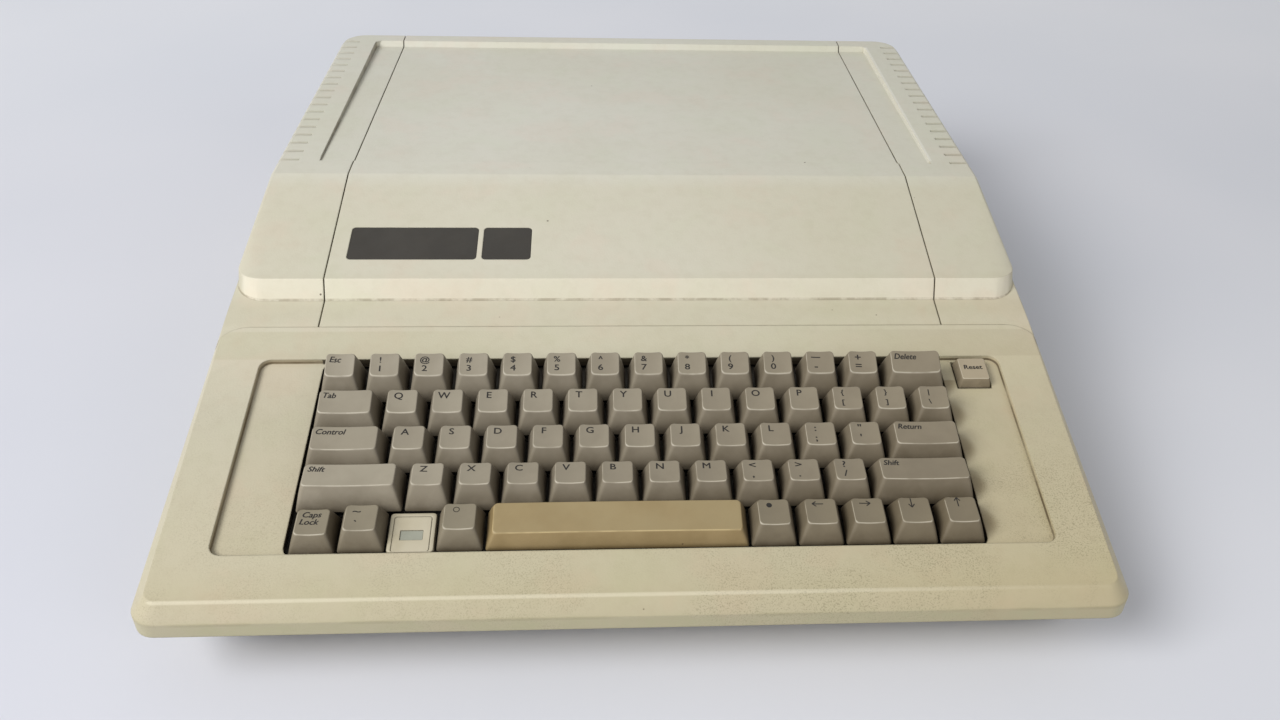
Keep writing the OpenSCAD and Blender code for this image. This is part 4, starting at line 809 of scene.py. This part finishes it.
# Each key: node, width in key units, legend. A pair of strings is the upper and the lower legend, a
# number the direction of an arrow in degrees, and "ring" and "disc" are plain marks.
LAYOUT = [
    [("key_esc", 1, "Esc")]
    + [("key_" + d, 1, (s, d)) for s, d in zip("!@#$%^&*()", "1234567890")]
    + [("key_minus", 1, ("_", "-")), ("key_equals", 1, ("+", "=")), ("key_delete", 1.5, "Delete")],
    [("key_tab", 1.5, "Tab")] + [("keys_upper_letters", 1, c) for c in "QWERTYUIOP"]
    + [("keys_brackets", 1, ("{", "[")), ("keys_brackets", 1, ("}", "]")),
       ("key_backslash", 1, ("|", "\\"))],
    [("key_control", 1.75, "Control")] + [("keys_home_letters", 1, c) for c in "ASDFGHJKL"]
    + [("keys_semicolon_quote", 1, (":", ";")), ("keys_semicolon_quote", 1, ("\"", "'")),
       ("key_return", 1.75, "Return")],
    [("key_left_shift", 2.25, "Shift")] + [("keys_lower_letters", 1, c) for c in "ZXCVBNM"]
    + [("keys_comma_period", 1, ("<", ",")), ("keys_comma_period", 1, (">", ".")),
       ("key_slash", 1, ("?", "/")), ("key_right_shift", 2.25, "Shift")],
    [("key_caps_lock", 1, "caps"), ("key_grave", 1, ("~", "`")), ("lamp_plate", 1, None),
     ("key_left_command", 1, "ring"), ("key_space", 5.5, None), ("key_right_command", 1, "disc"),
     ("key_arrow_left", 1, 180), ("key_arrow_right", 1, 0), ("key_arrow_down", 1, -90),
     ("key_arrow_up", 1, 90)],
]
WORD = {"size": 3.7, "wide": 1.0, "lean": 0.22, "bold": 0.1}
# where legends stand on a top: in from its back and front edges, and from its left edge
UPPER_IN, LOWER_IN, ARROW_IN, WORD_UP, LINE_DOWN = 2.9, 3.5, 2.6, 0.2, 3.3
WORD_X, PAIR_X, LETTER_X, MARK_X, ARROW_X, CAPS_X, LOCK_X = 1.6, 4.2, 4.4, 4.6, 5.2, 5.7, 5.1
DASH_X = (2.2, 6.4)


def sign_size(text):
    """Letter heights are uneven in the built-in letterform, so signs get sizes of their own."""
    if text.isdigit():
        return 3.7
    if text in "|\\{}[]":
        return 3.3
    return 4.6 if text in "<>,.;:'\"`~?/-+=" else 3.6


def draw_legend(bm, cap, what, place):
    left = -cap.xh
    upper, lower = cap.y1 - UPPER_IN, cap.y0 + LOWER_IN
    if isinstance(what, tuple):
        for text, y in zip(what, (upper, lower)):
            if text == "_":
                stroke(bm, cap, (left + DASH_X[0], y), (left + DASH_X[1], y), place)
            else:
                write_on(bm, cap, text, left + PAIR_X, y, place, sign_size(text),
                         wide=1.35 if text.isdigit() else 1.2)
    elif isinstance(what, int):
        arrow(bm, cap, left + ARROW_X, cap.y1 - ARROW_IN, what, place)
    elif what == "caps":
        write_on(bm, cap, "Caps", left + CAPS_X, upper + WORD_UP, place, **WORD)
        write_on(bm, cap, "Lock", left + LOCK_X, upper - LINE_DOWN, place, **WORD)
    elif what in ("ring", "disc"):
        round_mark(bm, cap, left + MARK_X, upper, place, filled=what == "disc")
    elif len(what) == 1:
        write_on(bm, cap, what, left + LETTER_X, upper, place, size=4.3)
    else:
        write_on(bm, cap, what, left + WORD_X, upper + WORD_UP, place, align="left", **WORD)


def key_cap(units, row, space):
    front, back = ROW_TOPS[row]
    if space:
        front = SPACE_FRONT
    cap = Cap(units * PITCH_MM - GAP, PITCH_MM - GAP, front, back, SKIRT, SIDE_IN,
              (front + SKIRT) * FRONT_LEAN, (back + SKIRT) * BACK_LEAN,
              SPACE_CROWN if space else DISH, TRAVEL)
    if space:
        cap.front += SPACE_CROWN
        cap.back += SPACE_CROWN
    return cap


def make_keys():
    caps, marks = {}, {}
    for row, keys in enumerate(LAYOUT):
        x = -BLOCK_W / 2
        v = ROWS_V + (len(LAYOUT) - 1 - row + 0.5) * PITCH_MM
        for node, units, what in keys:
            mid = x + units * PITCH_MM / 2
            x += units * PITCH_MM
            if node == "lamp_plate":
                continue
            cap = key_cap(units, row, node == "key_space")
            down = CAPS_LOCK_DOWN if node == "key_caps_lock" else 0.0
            place = SLAB @ Matrix.Translation((mid, v, -down))
            bm = bmesh.new()
            cap.build(bm)
            bmesh.ops.transform(bm, matrix=place, verts=bm.verts)
            temp = bpy.data.meshes.new("temp")
            bm.to_mesh(temp)
            bm.free()
            caps.setdefault(node, bmesh.new()).from_mesh(temp)
            bpy.data.meshes.remove(temp)
            if what is not None:
                draw_legend(marks.setdefault(node, bmesh.new()), cap, what, place)
    for node, bm in caps.items():
        space = node == "key_space"
        make_piece("caps." + node[4:].lstrip("_"), bm, M["space" if space else "key"], node,
                   (node,))
    for node, bm in marks.items():
        make_piece("legends." + node[4:].lstrip("_"), bm, M["ink"], node)


make_keys()


def make_reset():
    side, inset, height, skirt, x, from_back = 14.8, 1.2, 2.3, 3.1, 153.2, 2.4
    cap = Cap(side, side, height, height, skirt, inset, inset, inset, 0.0, RESET_TRAVEL,
              r_low=0.8, r_top=1.0, lip=0.45)
    place = SLAB @ Matrix.Translation((x, FIELD_END - from_back - side / 2, 0))
    bm = bmesh.new()
    cap.build(bm)
    bmesh.ops.transform(bm, matrix=place, verts=bm.verts)
    make_piece("caps.reset", bm, M["reset"], "key_reset", ("key_reset",))
    bm = bmesh.new()
    write_on(bm, cap, "Reset", 0.0, 0.8, place, size=3.6, wide=1.05, bold=0.1)
    make_piece("legends.reset", bm, M["ink"], "key_reset")


make_reset()


# --- lamp plate -----------------------------------------------------------------------------------
def make_lamp_plate():
    """A plate flush with the slab: a rim round three sides and a panel that runs out in front."""
    x = -BLOCK_W / 2 + 2.5 * PITCH_MM
    w = PITCH_MM - GAP
    v0 = FIELD_V + 0.2
    rim, groove, sunk, panel_z, window_z = 1.55, 0.28, 0.35, -0.05, -1.2
    window = (x - 4.5, x + 4.5, v0 + 5.5, v0 + 10.1, 0.3)
    bm = bmesh.new()

    def ring(inset, z, r):
        return [(px, py, z) for px, py in
                round_rect(x - w / 2 + inset, x + w / 2 - inset, v0 + min(inset, 0.25),
                           v0 + w - inset, r, side=(6, 6))]

    def window_ring(z):
        return [(px, py, z) for px, py in round_rect(*window, side=(6, 6))]
    made = loft(bm, [ring(0.0, -PLATE_DROP, 1.3), ring(0.0, -0.6, 1.3), ring(0.12, -0.16, 1.3),
                     ring(0.4, 0.0, 1.2), ring(rim, 0.0, 1.1), ring(rim + 0.1, -sunk, 1.0),
                     ring(rim + groove, -sunk, 1.0), ring(rim + groove + 0.1, panel_z, 0.9)])
    inner = loft(bm, [window_ring(panel_z), window_ring(window_z)])
    join_rings(bm, made[-1], inner[0])
    bm.faces.new(list(reversed(made[0])))
    bmesh.ops.transform(bm, matrix=SLAB, verts=bm.verts)
    make_piece("lamp_plate_trim", bm, M["lamp_plate"], "case",
               ("lamp_plate",))


make_lamp_plate()


# --- floor and light ------------------------------------------------------------------------------
FLOOR_HALF, FADE_FROM, FADE_TO = 6, 1.2, 2.4


def make_floor():
    bm = bmesh.new()
    for sx, sy in ((-1, -1), (1, -1), (1, 1), (-1, 1)):
        bm.verts.new((sx * FLOOR_HALF, sy * FLOOR_HALF, 0))
    bm.faces.new(bm.verts)
    mesh = bpy.data.meshes.new("floor")
    bm.to_mesh(mesh)
    bm.free()
    k = Mat("floor_paper")
    tone = k.mix(k.patches(3.0, 0.3, 0.7, detail=2.0, rough=0.5), lin(218, 220, 227),
                 lin(223, 224, 230))
    # painted shade in front on the left, painted light behind and on the right
    x, y, _ = k.axes()
    tone = k.tint(tone, k.product(k.below(x, -0.5, 0.2), k.below(y, -0.3, 0.5)),
                  (0.86, 0.86, 0.89))
    tone = k.tint(tone, k.span(y, 0.1, 0.9), (1.30, 1.30, 1.28))
    tone = k.tint(tone, k.span(x, 0.05, 0.5), (1.05, 1.045, 1.03))
    # far off it fades into the backdrop
    far = k.math("SQRT", k.math("ADD", k.product(x, x), k.product(y, y)))
    k.give(k.bsdf.inputs["Alpha"], k.below(far, FADE_FROM, FADE_TO))
    mesh.materials.append(k.done(tone, 0.75, k.bump(k.noise(300.0, 2.0, 0.5), 0.05, 0.0003)))
    floor = bpy.data.objects.new("floor", mesh)
    scene.collection.objects.link(floor)


def area(name, at, aim, size, watts):
    light = bpy.data.lights.new(name, "AREA")
    light.shape = "RECTANGLE"
    light.size, light.size_y = size
    light.energy = watts
    o = bpy.data.objects.new(name, light)
    o.location = at
    o.rotation_mode = "QUATERNION"
    o.rotation_quaternion = (Vector(aim) - Vector(at)).to_track_quat("-Z", "Y")
    scene.collection.objects.link(o)


def make_world():
    """An even glow lights the object; camera, glossy and transmission rays see the backdrop."""
    world = bpy.data.worlds.new("studio")
    scene.world = world
    world.use_nodes = True
    t = world.node_tree
    t.nodes.clear()
    out = t.nodes.new("ShaderNodeOutputWorld")
    glow = t.nodes.new("ShaderNodeBackground")
    glow.inputs["Color"].default_value = (0.97, 0.98, 1.0, 1)
    glow.inputs["Strength"].default_value = 0.40
    seen = t.nodes.new("ShaderNodeBackground")
    seen.inputs["Color"].default_value = lin(222, 224, 230)
    path = t.nodes.new("ShaderNodeLightPath")
    mix = t.nodes.new("ShaderNodeMixShader")
    shown = path.outputs["Is Camera Ray"]
    for kind in ("Is Glossy Ray", "Is Transmission Ray"):
        either = t.nodes.new("ShaderNodeMath")
        either.operation = "MAXIMUM"
        t.links.new(shown, either.inputs[0])
        t.links.new(path.outputs[kind], either.inputs[1])
        shown = either.outputs[0]
    t.links.new(shown, mix.inputs[0])
    t.links.new(glow.outputs[0], mix.inputs[1])
    t.links.new(seen.outputs[0], mix.inputs[2])
    t.links.new(mix.outputs[0], out.inputs[0])


make_floor()
make_world()
area("key_light", (-1.2, -1.0, 1.3), (0, 0, 0.05), (1.1, 0.9), 33)
area("fill_light", (1.0, -1.3, 0.9), (0.1, 0, 0.05), (0.7, 0.7), 3.2)
